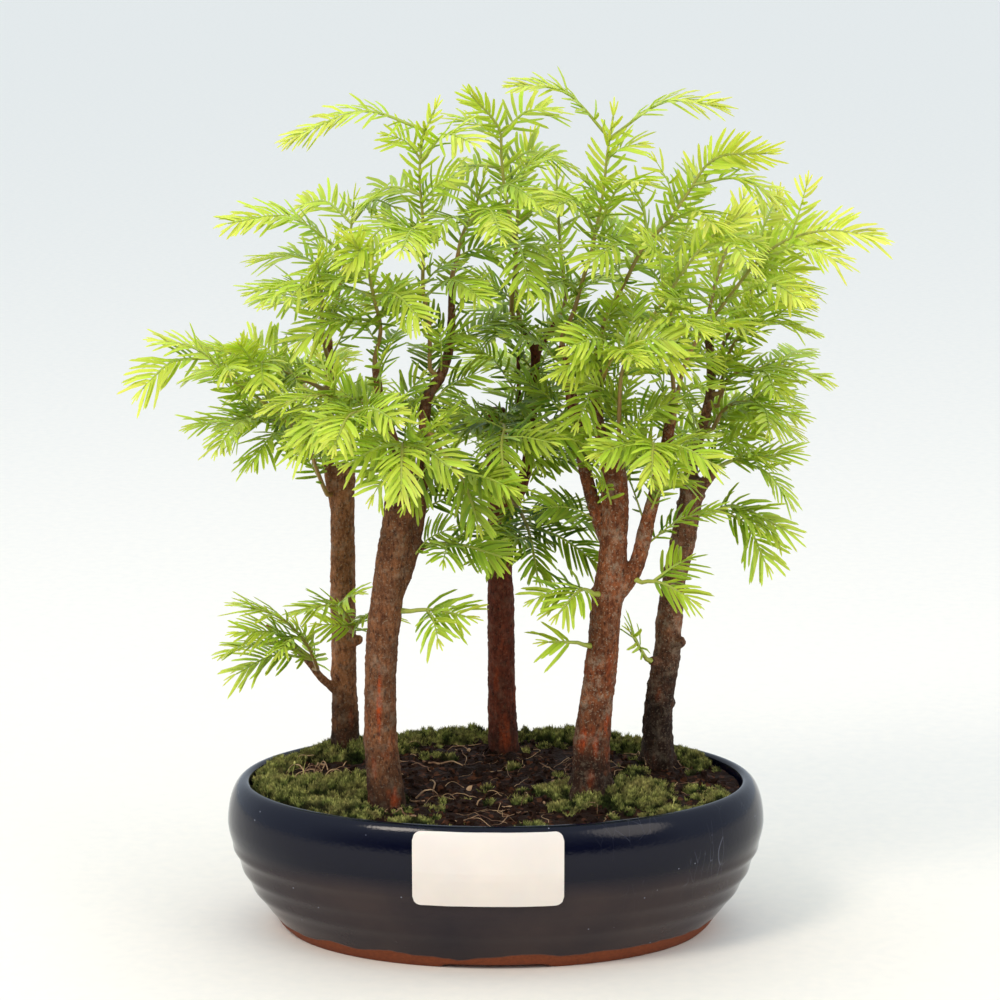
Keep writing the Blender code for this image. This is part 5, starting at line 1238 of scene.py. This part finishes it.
def bare_share(tree, points, rows):
    """How bare of bark each point is; rows holds the middle and radius of the wood next to it."""
    aside = points[:, :2] - rows[:, :2]
    angle = np.arctan2(aside[:, 1], aside[:, 0])
    rough = 0.6 * noise(points * (1, 1, 0.35), 1.3, 9)
    bare = np.zeros(len(points))
    for degrees, height, wide, high, share in SCARS[tree]:
        turn = (angle - math.radians(degrees) + math.pi) % (2 * math.pi) - math.pi
        apart = np.hypot(turn * rows[:, 3] / wide, (points[:, 2] - height) / high)
        bare = np.maximum(bare, share * np.clip(1.6 - 1.4 * apart + rough, 0, 1))
    return bare


def bark_shape(tree, lumps, spread, seed):
    """A tree's wood with the relief of its bark: strips with furrows, soft lumps, small knots, bare scars and
    cut ends."""
    wood = settings("wood")
    parts = {part: wood_curve(tree, part) for part in TREES[tree]}
    tubes = [tube(rows, 20 if part == "trunk" else 14) for part, rows in parts.items()]
    points, normals, faces = fused(tubes, WOOD_VOXEL)
    rows = np.vstack(list(parts.values()))
    row = nearest_rows(points, rows)
    radius = rows[row, 3]
    thick = np.clip(radius / 4.5, 0.15, 1)
    stretched = points * (1, 1, 0.3)
    strip = noise(stretched, mm(wood.grain), seed)
    furrow = np.clip(1 - np.abs(strip) * 3.2, 0, 1)
    wide = noise(points * (1, 1, 0.45), 6.5, seed + 1)
    fine = noise(points, 0.9, seed + 2)
    height = mm(wood.relief) * (0.5 * strip - 0.6 * furrow) + lumps * 0.75 * wide + 0.18 * fine
    height += 0.3 * lumps * np.clip(3 * noise(points, 2.4, seed + 3) - 0.5, 0, 1)
    # Knots: small round swellings where twigs came off
    rng = np.random.default_rng(seed)
    trunk = parts["trunk"]
    for _ in range(KNOTS):
        at = trunk[rng.integers(8, len(trunk) - 4)]
        turn = rng.uniform(0, 2 * math.pi)
        spot = at[:3] + at[3] * np.array([math.cos(turn), math.sin(turn), 0])
        wide_by = rng.uniform(0.9, 1.7)
        apart = np.linalg.norm(points - spot, axis=1)
        height += lumps * rng.uniform(0.5, 1.1) * np.exp(-((apart / wide_by) ** 2)) / thick
    flare = np.clip((64 - points[:, 2]) / 13, 0, 1) ** 2
    angle = np.arctan2(points[:, 1] - trunk[0, 1], points[:, 0] - trunk[0, 0])
    height += 1.7 * spread * flare * (0.5 + np.sin(5 * angle + seed))
    last = len(trunk) - 1
    bare = bare_share(tree, points, rows[row]) * (row <= last)
    height -= 0.25 * bare
    direction = trunk[-1, :3] - trunk[-2, :3]
    direction /= np.linalg.norm(direction)
    cut = (row >= last - 1) & (row <= last) & (normals @ direction > 0.72)
    height = np.where(cut, 0.25 * fine, height * thick)
    # The furrow mark also darkens the bark's colour in its furrows: painted shade
    marks = {"furrow": furrow * (1 - cut), "cut": cut.astype(float), "bare": bare * (1 - cut)}
    return points + normals * height[:, None], faces, marks


def leave_wood(tree, part, height, towards):
    """Where a shoot starts on its wood, and a second point straight out from it."""
    rows = solid_rows(tree, part)
    if height is None:
        end = Vector(rows[-1][:3])
        out = (end - Vector(rows[-2][:3])).normalized()
        start = end + out * GAP
    else:
        middle = Vector([np.interp(height, rows[:, 2], rows[:, k]) for k in range(3)])
        radius = float(np.interp(height, rows[:, 2], rows[:, 3]))
        along = Path(rows).direction(float(np.interp(height, rows[:, 2], Path(rows).at)))
        out = Vector(towards) - middle
        out = (out - along * out.dot(along)).normalized()
        start = middle + out * (radius + GAP)
    return tuple(start), tuple(start + out * 1.5)


def solid_rows(tree, part):
    """The coarser rows that the solid of a piece of wood has, which the shoots start from."""
    rows = TREES[tree][part]
    if part != "trunk":
        return smooth_path(rows, 13.0)
    return np.vstack([np.array(rows[:1], float), smooth_path(rows[1:], 16.0)])


def facing(point, along, roll):
    """The direction across a spray, whose face looks up, outward and to the light at the front."""
    outward = Vector((point.x, point.y, 0)) / OUT_DISTANCE
    if outward.length > 1:
        outward.normalize()
    target = Vector((0, -LEAN_FRONT, 1)) + outward * LEAN_OUT
    side = target.cross(along)
    side = side.normalized() if side.length > 0.35 else Vector((1, 0, 0))
    return side * math.cos(roll) + along.cross(side) * math.sin(roll)


class Limb:
    """One leafy stem: its curve, its thickness, and the direction across its spray."""

    def __init__(self, rows, radius, leafy, roll):
        self.path = Path(rows)
        self.radius = radius
        length = self.path.length
        face = FACE_SHARE * length
        self.side = facing(self.path.point(face), self.path.direction(face), roll)
        leafy = min(leafy, length - BARE_LEAST)
        count = max(2, round(leafy / NEEDLE_PITCH))
        self.leafy_from = length - leafy
        first = self.leafy_from + 0.5 * leafy / count - NEEDLE_SET_BACK
        self.pairs = [first + leafy * i / count for i in range(count)]

    def joint(self, s):
        """The place nearest to a distance where a side spray grows: at a needle pair if leafy."""
        nearest = min(self.pairs, key=lambda pair: abs(pair - s))
        return nearest if s > self.pairs[0] - 0.5 * NEEDLE_PITCH else s

    def frame(self, s):
        """Point, direction, side and upper direction at a distance along the limb."""
        point, along = self.path.point(s), self.path.direction(s)
        side = (self.side - along * self.side.dot(along)).normalized()
        return point, along, side, along.cross(side)


def plan_shoots():
    """The limbs of each shoot as the solids have them: its leading stem first, then its side sprays."""
    rng = random.Random(SHOOT_SEED)
    plan = {}
    for name, (tree, part, height, route, sides) in SHOOTS.items():
        start = leave_wood(tree, part, height, route[0])
        stem = smooth_path([*start, *route], 3.0)
        limbs = [Limb(stem, STEM_RADIUS, LEAFY_LENGTH, rng.uniform(-ROLL_MOST, ROLL_MOST))]
        for share, tip in sides:
            at = limbs[0].joint(share * limbs[0].path.length)
            base = limbs[0].path.point(at)
            along = limbs[0].path.direction(at)
            reach = (Vector(tip) - base).length
            bow = Vector((0, 0, SPRAY_RISE * reach)) + along * SPRAY_SWEEP * reach
            middle = (base + Vector(tip)) / 2 + bow
            rows = smooth_path([tuple(base), tuple(middle), tip], 3.0)
            roll = rng.uniform(-ROLL_MOST, ROLL_MOST)
            limbs.append(Limb(rows, RACHIS_RADIUS, SPRAY_LEAFY_SHARE * reach, roll))
        plan[name] = limbs
    return plan


def short_sprays(limbs, rng):
    """The short sprays that stand between the long ones along a shoot, closest together deep in the crown."""
    made = []
    stem = limbs[0]
    length = stem.path.length
    s, number = 8.0, 0
    while s < length - 14:
        point, along, side, upper = stem.frame(s)
        crowd = crowd_at(point)
        sign = 1 if number % 2 else -1
        swing = rng.uniform(-0.9, 0.9)
        out = side * sign * math.cos(swing) + upper * math.sin(swing)
        made.append(spray(point, along, out, rng.uniform(13, 21) * (0.85 + 0.3 * crowd), rng))
        s += rng.uniform(14, 20) * (1 - 0.6 * crowd)
        number += 1
    for limb in limbs[1:]:
        if limb.path.length > 34 and rng.random() < crowd_at(limb.path.point(10)):
            _, along, side, upper = limb.frame(0.3 * limb.path.length)
            out = side * rng.choice((-1, 1)) + upper * rng.uniform(-0.2, 0.5)
            base = limb.path.point(0.3 * limb.path.length)
            made.append(spray(base, along, out.normalized(), rng.uniform(10, 15), rng))
    return made


def wood_sprays(tree, rng):
    """Short leafy sprays that grow straight from the branches and from the tops of the trunks."""
    made = []
    for part in TREES[tree]:
        rows = solid_rows(tree, part)
        path = Path(rows)
        s = 12.0
        turn = rng.uniform(0, 6)
        while s < path.length - 1:
            point, along = path.point(s), path.direction(s)
            if point.z > (150 if part == "trunk" else 132):
                side = along.cross(Vector((0, 1, 0))).normalized()
                out = side * math.cos(turn) + along.cross(side) * math.sin(turn)
                out = (out + Vector((0, 0, rng.uniform(-0.1, 0.5)))).normalized()
                radius = float(np.interp(point.z, rows[:, 2], rows[:, 3]))
                made.append(spray(point + out * (radius - 0.4), along, out, rng.uniform(13, 27), rng))
            turn += 2.4
            s += rng.uniform(4.5, 7.5)
    return made


def spray(base, along, out, reach, rng):
    """A short side spray: it leaves its stem forwards, spreads, and nods a little at its tip."""
    lean = math.radians(rng.uniform(42, 62))
    heading = out * math.sin(lean) + along * math.cos(lean)
    middle = base + heading * 0.5 * reach + Vector((0, 0, 0.05 * reach))
    tip = base + heading * reach + out * 0.1 * reach - Vector((0, 0, rng.uniform(0.0, 0.2) * reach))
    rows = smooth_path([tuple(base), tuple(middle), tuple(tip)], 3.0)
    return Limb(rows, 0.45, reach, rng.uniform(-0.5, 0.5))


def light_on(point):
    """How much light a place in the crown has, from 0 deep inside to 1 at its top and outside."""
    height = max(0.0, (point.z - 130) / 150)
    out = math.hypot(point.x / 105, (point.y + 5) / 80)
    below = 0.55 if point.z < 125 else 0.0
    return min(1.0, max(below, 0.6 * height * height + 0.58 * out))


def crowd_at(point):
    """How crowded the short sprays are at a place: 1 in the middle of the crown and 0 at its edges."""
    high = 1 - abs(point.z - 185) / 62
    out = math.hypot(point.x / 100, point.y / 75)
    return min(1.0, max(0.0, high)) * max(0.0, 1.15 - out)


class Needles:
    """Collects needles, and makes them all at once as thin closed blades with a groove along the top."""

    # Where along a blade its rings of points are and how wide it is there, as shares; its depth and its
    # groove's in mm
    stations = np.array([0.0, 0.16, 0.55, 0.92])
    widths = np.array([0.35, 0.92, 1.0, 0.66])
    thickness = 0.3
    groove = 0.14

    def __init__(self):
        self.rows = []

    def add(self, root, heading, upper, length, width, bend, young, tone):
        """Adds a row of 16 numbers: 0 to 2 are the root, 3 to 5 the heading, 6 to 8 the upper direction, 9
        the length, 10 the width, 11 to 13 the bend, 14 how young it is with painted light added, and 15 its
        tone."""
        self.rows.append((*root, *heading, *upper, length, width, *bend, young, tone))

    def clothe(self, limb, first, spacing, scale, rng):
        """Pairs of needles along a limb: few and short on its bare part, then close together, longest in the
        middle, and at the tip drawn forwards into a brush."""
        leaf = settings("foliage")
        scale *= rng.uniform(0.8, 1.04)
        longest, width = mm(leaf.needle_length) * scale, mm(leaf.needle_width) * (0.5 + 0.5 * scale)
        spacing *= 0.4 + 0.6 * scale
        length = limb.path.length
        leafy = min(limb.leafy_from, length - 12)
        s = first
        while s < length - 2.0:
            point, along, side, upper = limb.frame(s)
            upright = min(1.0, max(0.0, (along.z - 0.6) / 0.3))
            bare = s < leafy - 3
            share = min(1.0, max(0.0, (s - leafy) / (length - leafy)))
            light = light_on(point)
            turn = rng.uniform(-1.2, 1.2) if bare else rng.gauss(0, 0.12) + upright * rng.uniform(-1.3, 1.3)
            size = 0.52 if bare else 0.62 + 0.38 * math.sin(math.pi * (0.2 + 0.73 * share))
            size *= 1 - 0.18 * upright
            open_by = 62 if bare else 64 - 26 * share - 14 * max(0, share - 0.75) / 0.25
            for sign in (1, -1):
                if bare and rng.random() < 0.25:
                    continue
                angle = math.radians(open_by + rng.gauss(0, 5))
                tilt = 0.2 + rng.gauss(0, 0.14) + turn
                flat = side * sign * math.sin(angle) + along * math.cos(angle)
                heading = flat * math.cos(tilt) + upper * math.sin(tilt)
                over = upper * math.cos(tilt) - flat * math.sin(tilt)
                long = longest * size * rng.uniform(0.86, 1.06)
                bend = along * rng.uniform(0.08, 0.36) * long - upper * rng.uniform(0.05, 0.34) * long
                bend -= Vector((0, 0, rng.uniform(0, 0.1) * long))
                # Painted light: needles at the top and outside of the crown are marked younger and so
                # lighter, those deep inside darker
                young = (0.2 + 0.24 * light) * share + 0.54 * light + rng.gauss(0, 0.07)
                narrow = width * (0.72 + 0.28 * size) * rng.uniform(0.85, 1.1)
                self.add(point, heading, over, long, narrow, bend, young, rng.random())
            s += rng.uniform(0.93, 1.07) * (2.6 if bare else 1.0 - 0.35 * share + 0.35 * upright) * spacing
        point, along, side, upper = limb.frame(length)
        for aside, long in ((0.1, 0.55), (-0.22, 0.45), (0.34, 0.42)):
            heading = (along + side * aside + upper * rng.uniform(-0.15, 0.15)).normalized()
            # Painted light: the tip needles too are lighter where the crown is lit
            young = 0.5 + 0.45 * light_on(point)
            self.add(point, heading, upper, longest * long, width * 0.55, upper * -0.8, young, rng.random())

    def clear(self, wood):
        """The needles that don't run into the wood."""
        data = np.array(self.rows)
        t = np.array([0.3, 0.55, 0.8, 1.0])[None, :, None]
        root, heading, bend = data[:, None, 0:3], data[:, None, 3:6], data[:, None, 11:14]
        probe = (root + heading * data[:, 9, None, None] * t + bend * t**2).reshape(-1, 3)
        near = wood[nearest_rows(probe, wood)]
        free = np.linalg.norm(probe - near[:, :3], axis=1) > near[:, 3] + 0.5
        return data[free.reshape(-1, t.size).all(axis=1)]

    def shape(self, wood):
        """Points, faces, and each point's youth, which holds painted light, and its tone."""
        data = self.clear(wood)
        root, heading, upper = data[:, 0:3], data[:, 3:6], data[:, 6:9]
        length, width, bend = data[:, 9], data[:, 10], data[:, 11:14]
        count, rings = len(data), len(self.stations)
        t = np.append(self.stations, 1.0)[None, :, None]
        middle = root[:, None] + heading[:, None] * length[:, None, None] * t + bend[:, None] * t**2
        tangent = heading[:, None] * length[:, None, None] + 2 * bend[:, None] * t
        across = np.cross(tangent, upper[:, None])
        across /= np.linalg.norm(across, axis=2)[:, :, None]
        over = np.cross(across, tangent)
        over /= np.linalg.norm(over, axis=2)[:, :, None]
        half = (width[:, None] / 2 * self.widths)[:, :, None] * across[:, :rings]
        lift = over[:, :rings] * self.groove * self.widths[None, :, None]
        keel = over[:, :rings] * self.thickness * self.widths[None, :, None]
        centre = middle[:, :rings]
        ring = np.stack([centre - half + lift, centre, centre + half + lift, centre - keel], 2)
        points = np.concatenate([ring.reshape(count, -1, 3), middle[:, rings:]], 1)
        per = 4 * rings + 1
        faces = []
        first = per * np.arange(count)
        for k in range(rings - 1):
            for i in range(4):
                a, b = 4 * k + i, 4 * k + (i + 1) % 4
                faces.append(np.stack([first + a, first + a + 4, first + b + 4, first + b], 1))
        quads = np.concatenate(faces + [np.stack([first, first + 1, first + 2, first + 3], 1)])
        tip = 4 * (rings - 1)
        ends = [np.stack([first + tip + i, first + per - 1, first + tip + (i + 1) % 4], 1) for i in range(4)]
        along = np.append(np.repeat(self.stations, 4), 1.0)
        young = data[:, 14:15] + 0.16 * (along[None, :] - 0.5)
        tone = np.repeat(data[:, 15:16], per, axis=1)
        faces = quads.tolist() + np.concatenate(ends).tolist()
        return points.reshape(-1, 3), faces, np.clip(young, 0, 1).ravel(), tone.ravel()


def stem_shape(limb, wood):
    """The tube of a limb's stem, thinner towards its tip, and how young each point of it is: a long stem
    that grows from the wood stays brown nearly to its tip."""
    length = limb.path.length
    count = max(4, round(length / 2.5))
    rows = []
    for i in range(count + 1):
        s = length * i / count
        radius = 0.85 * limb.radius * (1 - 0.55 * i / count)
        rows.append((*limb.path.point(s), radius))
    if wood:
        rows[0] = (*(limb.path.point(0) - limb.path.direction(0) * 1.2), limb.radius * 1.15)
    points, faces = tube(rows, 7 if limb.radius > 0.6 else 5, tuple(limb.side))
    youngest = 0.5 if not wood or length < 34 else 0.0
    ages = np.linspace(youngest, 0.6 if wood else 1.0, count + 1)
    share = np.repeat(ages, len(points) // (count + 1))
    return points, faces, share


def shoot_piece(name, needles, stems, wood, replaced=()):
    """Makes one piece of needles and their stems."""
    leaf = finish_of("redwood needle", living_needle)
    stem = finish_of("young stem", young_stem)
    blades, blade_faces, young, tone = needles.shape(wood)
    tubes, tube_faces, share = merged(stems)
    start = len(blades)
    faces = blade_faces + [[index + start for index in face] for face in tube_faces]
    parts = [0] * len(blade_faces) + [1] * len(tube_faces)
    # The needles' young mark holds painted light as well as their youth
    marks = {"young": np.concatenate([young, share]),
             "tone": np.concatenate([tone, np.full(len(share), 0.5)])}
    place(name, np.vstack([blades, tubes]), faces, [leaf, stem], replaced, parts, marks,
          sharp_degrees=80)


# Operators


class FOREST_OT_tray(bpy.types.Operator):
    """Thrown and glazed oval tray with its foot ring, cut-outs and drain holes"""

    bl_idname = "forest.tray"
    bl_label = "Tray"

    def execute(self, context):
        tray = settings("tray")
        sides = TRAY_SIDES
        section = tray_section(mm(tray.ridge))
        rows = []
        for radius, height in section:
            xy = oval(radius, sides)
            wobble = 0.12 * noise(np.column_stack([xy, np.full(sides, height * 0.7)]), 24, 2)
            xy = xy * (1 + (wobble / 90)[:, None] * (height > 1))
            z = np.maximum(height, notch(xy[:, 0])) if height < NOTCH_HEIGHT else np.full(sides, height)
            rows.append(np.column_stack([xy, z]))
        faces = closed_faces(len(rows), sides)
        glaze = finish_of("glazed stoneware", glazed_stoneware)
        obj = place("tray", np.vstack(rows), faces, [glaze], ["pot"])
        drills = [cutter(x, DRAIN_RADIUS) for x in (-DRAIN_X, DRAIN_X)]
        for drill in drills:
            cut = obj.modifiers.new("Drain", "BOOLEAN")
            cut.object = drill
            cut.solver = "EXACT"
        settle(obj)
        for drill in drills:
            bpy.data.objects.remove(drill, do_unlink=True)
        return {"FINISHED"}


class FOREST_OT_label(bpy.types.Operator):
    """Blank paper label that follows the curve of the tray's front"""

    bl_idname = "forest.label"
    bl_label = "Label"

    def execute(self, context):
        wide, low, high = TAG_SIZE
        columns, rows = TAG_GRID
        u = np.linspace(-1, 1, columns)
        x = u * wide / 2
        inset = np.clip(np.abs(x) - (wide / 2 - TAG_CORNER), 0, TAG_CORNER)
        drop = TAG_CORNER - np.sqrt(TAG_CORNER**2 - inset**2)
        v = np.linspace(0, 1, rows)
        z = (low + drop)[None, :] + v[:, None] * ((high - drop) - (low + drop))[None, :]
        x = np.broadcast_to(x, z.shape)
        flat = np.stack([x.ravel(), z.ravel(), np.zeros(z.size)], 1)
        crease = 0.14 * noise(flat * (1, 0.3, 1), 3.5, 8) + 0.22 * noise(flat, 8, 9)
        crease = crease.reshape(z.shape)
        corner = 0.9 * np.clip((-x - 17) / 8, 0, 1) ** 2 * np.clip((31 - z) / 6, 0, 1) ** 2
        lift = TAG_LIFT + crease + corner
        front = tag_point(TAG_X + x, z, lift + TAG_THICKNESS)
        back = tag_point(TAG_X + x, z, lift)
        points = np.vstack([front.reshape(-1, 3), back.reshape(-1, 3)])
        count = columns * rows
        sheet = grid_faces(rows, columns, wrap=False)
        faces = sheet.tolist() + (sheet[:, ::-1] + count).tolist()
        edge = [(0, j) for j in range(columns)] + [(i, columns - 1) for i in range(1, rows)]
        edge += [(rows - 1, j) for j in range(columns - 2, -1, -1)] + [(i, 0) for i in range(rows - 2, 0, -1)]
        loop = [i * columns + j for i, j in edge]
        for a, b in zip(loop, loop[1:] + loop[:1]):
            faces.append([b, a, a + count, b + count])
        paper = finish_of("label paper", label_paper)
        place("label", points, faces, [paper], ["pot_label"])
        return {"FINISHED"}


class FOREST_OT_screens(bpy.types.Operator):
    """Finish of the plastic mesh over the drain holes"""

    bl_idname = "forest.screens"
    bl_label = "Drain screens"

    def execute(self, context):
        plastic = finish_of("moulded polypropylene", moulded_plastic)
        for name in ("drain_screen_left", "drain_screen_right"):
            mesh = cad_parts[name].data
            mesh.materials.clear()
            mesh.materials.append(plastic)
        return {"FINISHED"}


class FOREST_OT_soil(bpy.types.Operator):
    """Rough soil that fills the tray, with loose crumbs, bark bits and fine roots on it"""

    bl_idname = "forest.soil"
    bl_label = "Soil"

    def execute(self, context):
        ground = settings("ground")
        rings, sides = SOIL_GRID
        rows = [np.column_stack([oval(69.5, sides), np.full(sides, 8.8)])]
        for radius, height in ((73.4, 10.5), (80.3, 26.0), (83.4, 45.0)):
            rows.append(np.column_stack([oval(radius, sides, 0.3), np.full(sides, height)]))
        for k in range(rings):
            xy = oval(84.1, sides, 0.2) * (1 - k / rings)
            rows.append(np.column_stack([xy, soil_height(xy[:, 0], xy[:, 1])]))
        earth = finish_of("damp peat and bark", potting_soil)
        place("soil_body", np.vstack(rows), closed_faces(len(rows), sides), [earth], ["soil"])
        rng = np.random.default_rng(SOIL_SEED)
        points, faces = loose_crumbs(rng, ground.crumbs)
        place("soil_crumbs", points, faces, [earth], sharp_degrees=25)
        points, faces = loose_roots(rng, ground.roots)
        place("soil_roots", points, faces, [finish_of("dry root", fibre_root)])
        return {"FINISHED"}


class FOREST_OT_moss(bpy.types.Operator):
    """Cushions and thin patches of moss, made of small pointed leaves"""

    bl_idname = "forest.moss"
    bl_label = "Moss"

    def execute(self, context):
        tuft = mm(settings("ground").tuft)
        green = finish_of("cushion moss", living_moss)
        rng = np.random.default_rng(MOSS_SEED)
        for name, row in MOSS.items():
            points, faces, tip = cushion(row, tuft, rng)
            place(name + "_cushion", points, faces, [green], [name], marks={"tip": tip})
        patches = [*MOSS_PATCHES, *moss_crumbs(rng)]
        shapes = [cushion(row, 0.85 * tuft, rng) for row in patches]
        points, faces, tip = merged(shapes + [capsule(*row) for row in CAPSULES])
        place("moss_patches", points, faces, [green], marks={"tip": tip})
        return {"FINISHED"}


class FOREST_OT_trunks(bpy.types.Operator):
    """Trunks and branches with furrowed bark and cut ends"""

    bl_idname = "forest.trunks"
    bl_label = "Trunks"

    # Tree: bark, its fibres, how much grey bloom, how much fresh bark, how high its damp foot; then how lumpy
    # the trunk is, and how far its roots spread
    barks = {
        "a": ("b67a50", "54321e", 0.38, 0.15, 68, 0.6, 0.2),
        "b": ("8e5c3a", "442616", 0.3, 0.2, 60, 0.55, 0.15),
        "c": ("7e3e2a", "421d12", 0.12, 0.3, 58, 0.35, 0.3),
        "d": ("9c5c38", "462414", 0.55, 0.5, 73, 0.8, 1.2),
        "e": ("9c684a", "3c2418", 0.55, 0.2, 88, 1.0, 0.8),
    }

    def execute(self, context):
        for seed, (tree, (*looks, lumps, spread)) in enumerate(self.barks.items()):
            points, faces, marks = bark_shape(tree, lumps, spread, BARK_SEED + 5 * seed)
            bark = finish_of(f"redwood bark {tree}", redwood_bark, f"redwood bark {tree}", *looks)
            place(f"tree_{tree}", points, faces, [bark], [f"trunk_{tree}"], marks=marks)
        return {"FINISHED"}


class FOREST_OT_shoots(bpy.types.Operator):
    """Leafy shoots: green stems and side sprays with flat needles in pairs"""

    bl_idname = "forest.shoots"
    bl_label = "Shoots"

    def execute(self, context):
        spacing = mm(settings("foliage").spacing)
        wood = np.vstack([wood_curve(tree, part) for tree in TREES for part in TREES[tree]])
        for number, (name, limbs) in enumerate(plan_shoots().items()):
            rng = random.Random(SHOOT_LOOKS_SEED + number)
            needles = Needles()
            stems = []
            for i, limb in enumerate(limbs):
                needles.clothe(limb, 8.0 if i == 0 else 4.0, spacing, 1.0, rng)
                stems.append(stem_shape(limb, i == 0))
            for limb in short_sprays(limbs, rng):
                needles.clothe(limb, SHORT_FIRST, spacing, SHORT_SCALE, rng)
                stems.append(stem_shape(limb, False))
            shoot_piece(name.replace("shoot", "leaves"), needles, stems, wood, [name])
        for number, tree in enumerate(TREES):
            rng = random.Random(INNER_SEED + number)
            needles = Needles()
            sprays = wood_sprays(tree, rng)
            for limb in sprays:
                needles.clothe(limb, SHORT_FIRST, spacing, SHORT_SCALE, rng)
            shoot_piece(f"inner_sprays_{tree}", needles, [stem_shape(limb, False) for limb in sprays], wood)
        return {"FINISHED"}


class FOREST_OT_stage(bpy.types.Operator):
    """Pale floor, soft light and the camera"""

    bl_idname = "forest.stage"
    bl_label = "Stage"

    def execute(self, context):
        stage = settings("stage")
        scene = context.scene
        mesh = bpy.data.meshes.new("floor")
        corners = [(x * FLOOR_REACH, y * FLOOR_REACH, 0) for x, y in ((-1, -1), (1, -1), (1, 1), (-1, 1))]
        mesh.from_pydata(corners, [], [(0, 1, 2, 3)])
        floor = bpy.data.objects.new("floor", mesh)
        scene.collection.objects.link(floor)
        mesh.materials.append(finish_of("pale floor", studio_floor))
        scene.world = soft_surround()
        middle = Vector(VIEW_MIDDLE) * MM
        for name, (where, size, power) in LAMPS.items():
            lamp = bpy.data.lights.new(name, "AREA")
            lamp.shape = "DISK"
            lamp.size = size
            lamp.energy = power
            lamp.color = stage.lamp
            obj = bpy.data.objects.new(name, lamp)
            scene.collection.objects.link(obj)
            obj.location = where
            obj.rotation_euler = (middle - obj.location).to_track_quat("-Z", "Y").to_euler()
        view = bpy.data.cameras.new("camera")
        view.sensor_width = 36.0
        view.lens = stage.lens
        view.clip_start = 0.05
        view.clip_end = 30
        camera = bpy.data.objects.new("camera", view)
        scene.collection.objects.link(camera)
        forward = Vector((0, math.cos(stage.pitch), -math.sin(stage.pitch)))
        camera.location = middle - forward * stage.distance
        camera.rotation_euler = (math.pi / 2 - stage.pitch, 0, 0)
        scene.camera = camera
        scene.view_settings.view_transform = "Standard"
        return {"FINISHED"}


OPERATORS = (FOREST_OT_tray, FOREST_OT_label, FOREST_OT_screens, FOREST_OT_soil, FOREST_OT_moss,
             FOREST_OT_trunks, FOREST_OT_shoots, FOREST_OT_stage)
GROUPS = {"tray": TraySettings, "ground": GroundSettings, "wood": WoodSettings,
          "foliage": FoliageSettings, "stage": StageSettings}


class FOREST_PT_panel(bpy.types.Panel):
    """Sizes, colours and the steps that build the planting"""

    bl_idname = "FOREST_PT_panel"
    bl_label = "Dawn Redwood Forest"
    bl_space_type = "VIEW_3D"
    bl_region_type = "UI"
    bl_category = "Forest"

    def draw(self, context):
        for group in GROUPS:
            box = self.layout.box()
            box.label(text=group.capitalize())
            for key in GROUPS[group].__annotations__:
                box.prop(settings(group), key)
        for operator in OPERATORS:
            self.layout.operator(operator.bl_idname)


def register():
    for made in (*GROUPS.values(), *OPERATORS, FOREST_PT_panel):
        bpy.utils.register_class(made)
    for group, made in GROUPS.items():
        setattr(bpy.types.Scene, "forest_" + group, bpy.props.PointerProperty(type=made))


def unregister():
    for group in GROUPS:
        delattr(bpy.types.Scene, "forest_" + group)
    for made in reversed((*GROUPS.values(), *OPERATORS, FOREST_PT_panel)):
        bpy.utils.unregister_class(made)


def main():
    """Builds the planting on its stage."""
    register()
    for operator in OPERATORS:
        family, step = operator.bl_idname.split(".")
        getattr(getattr(bpy.ops, family), step)()
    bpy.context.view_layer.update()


if __name__ == "__main__":
    main()
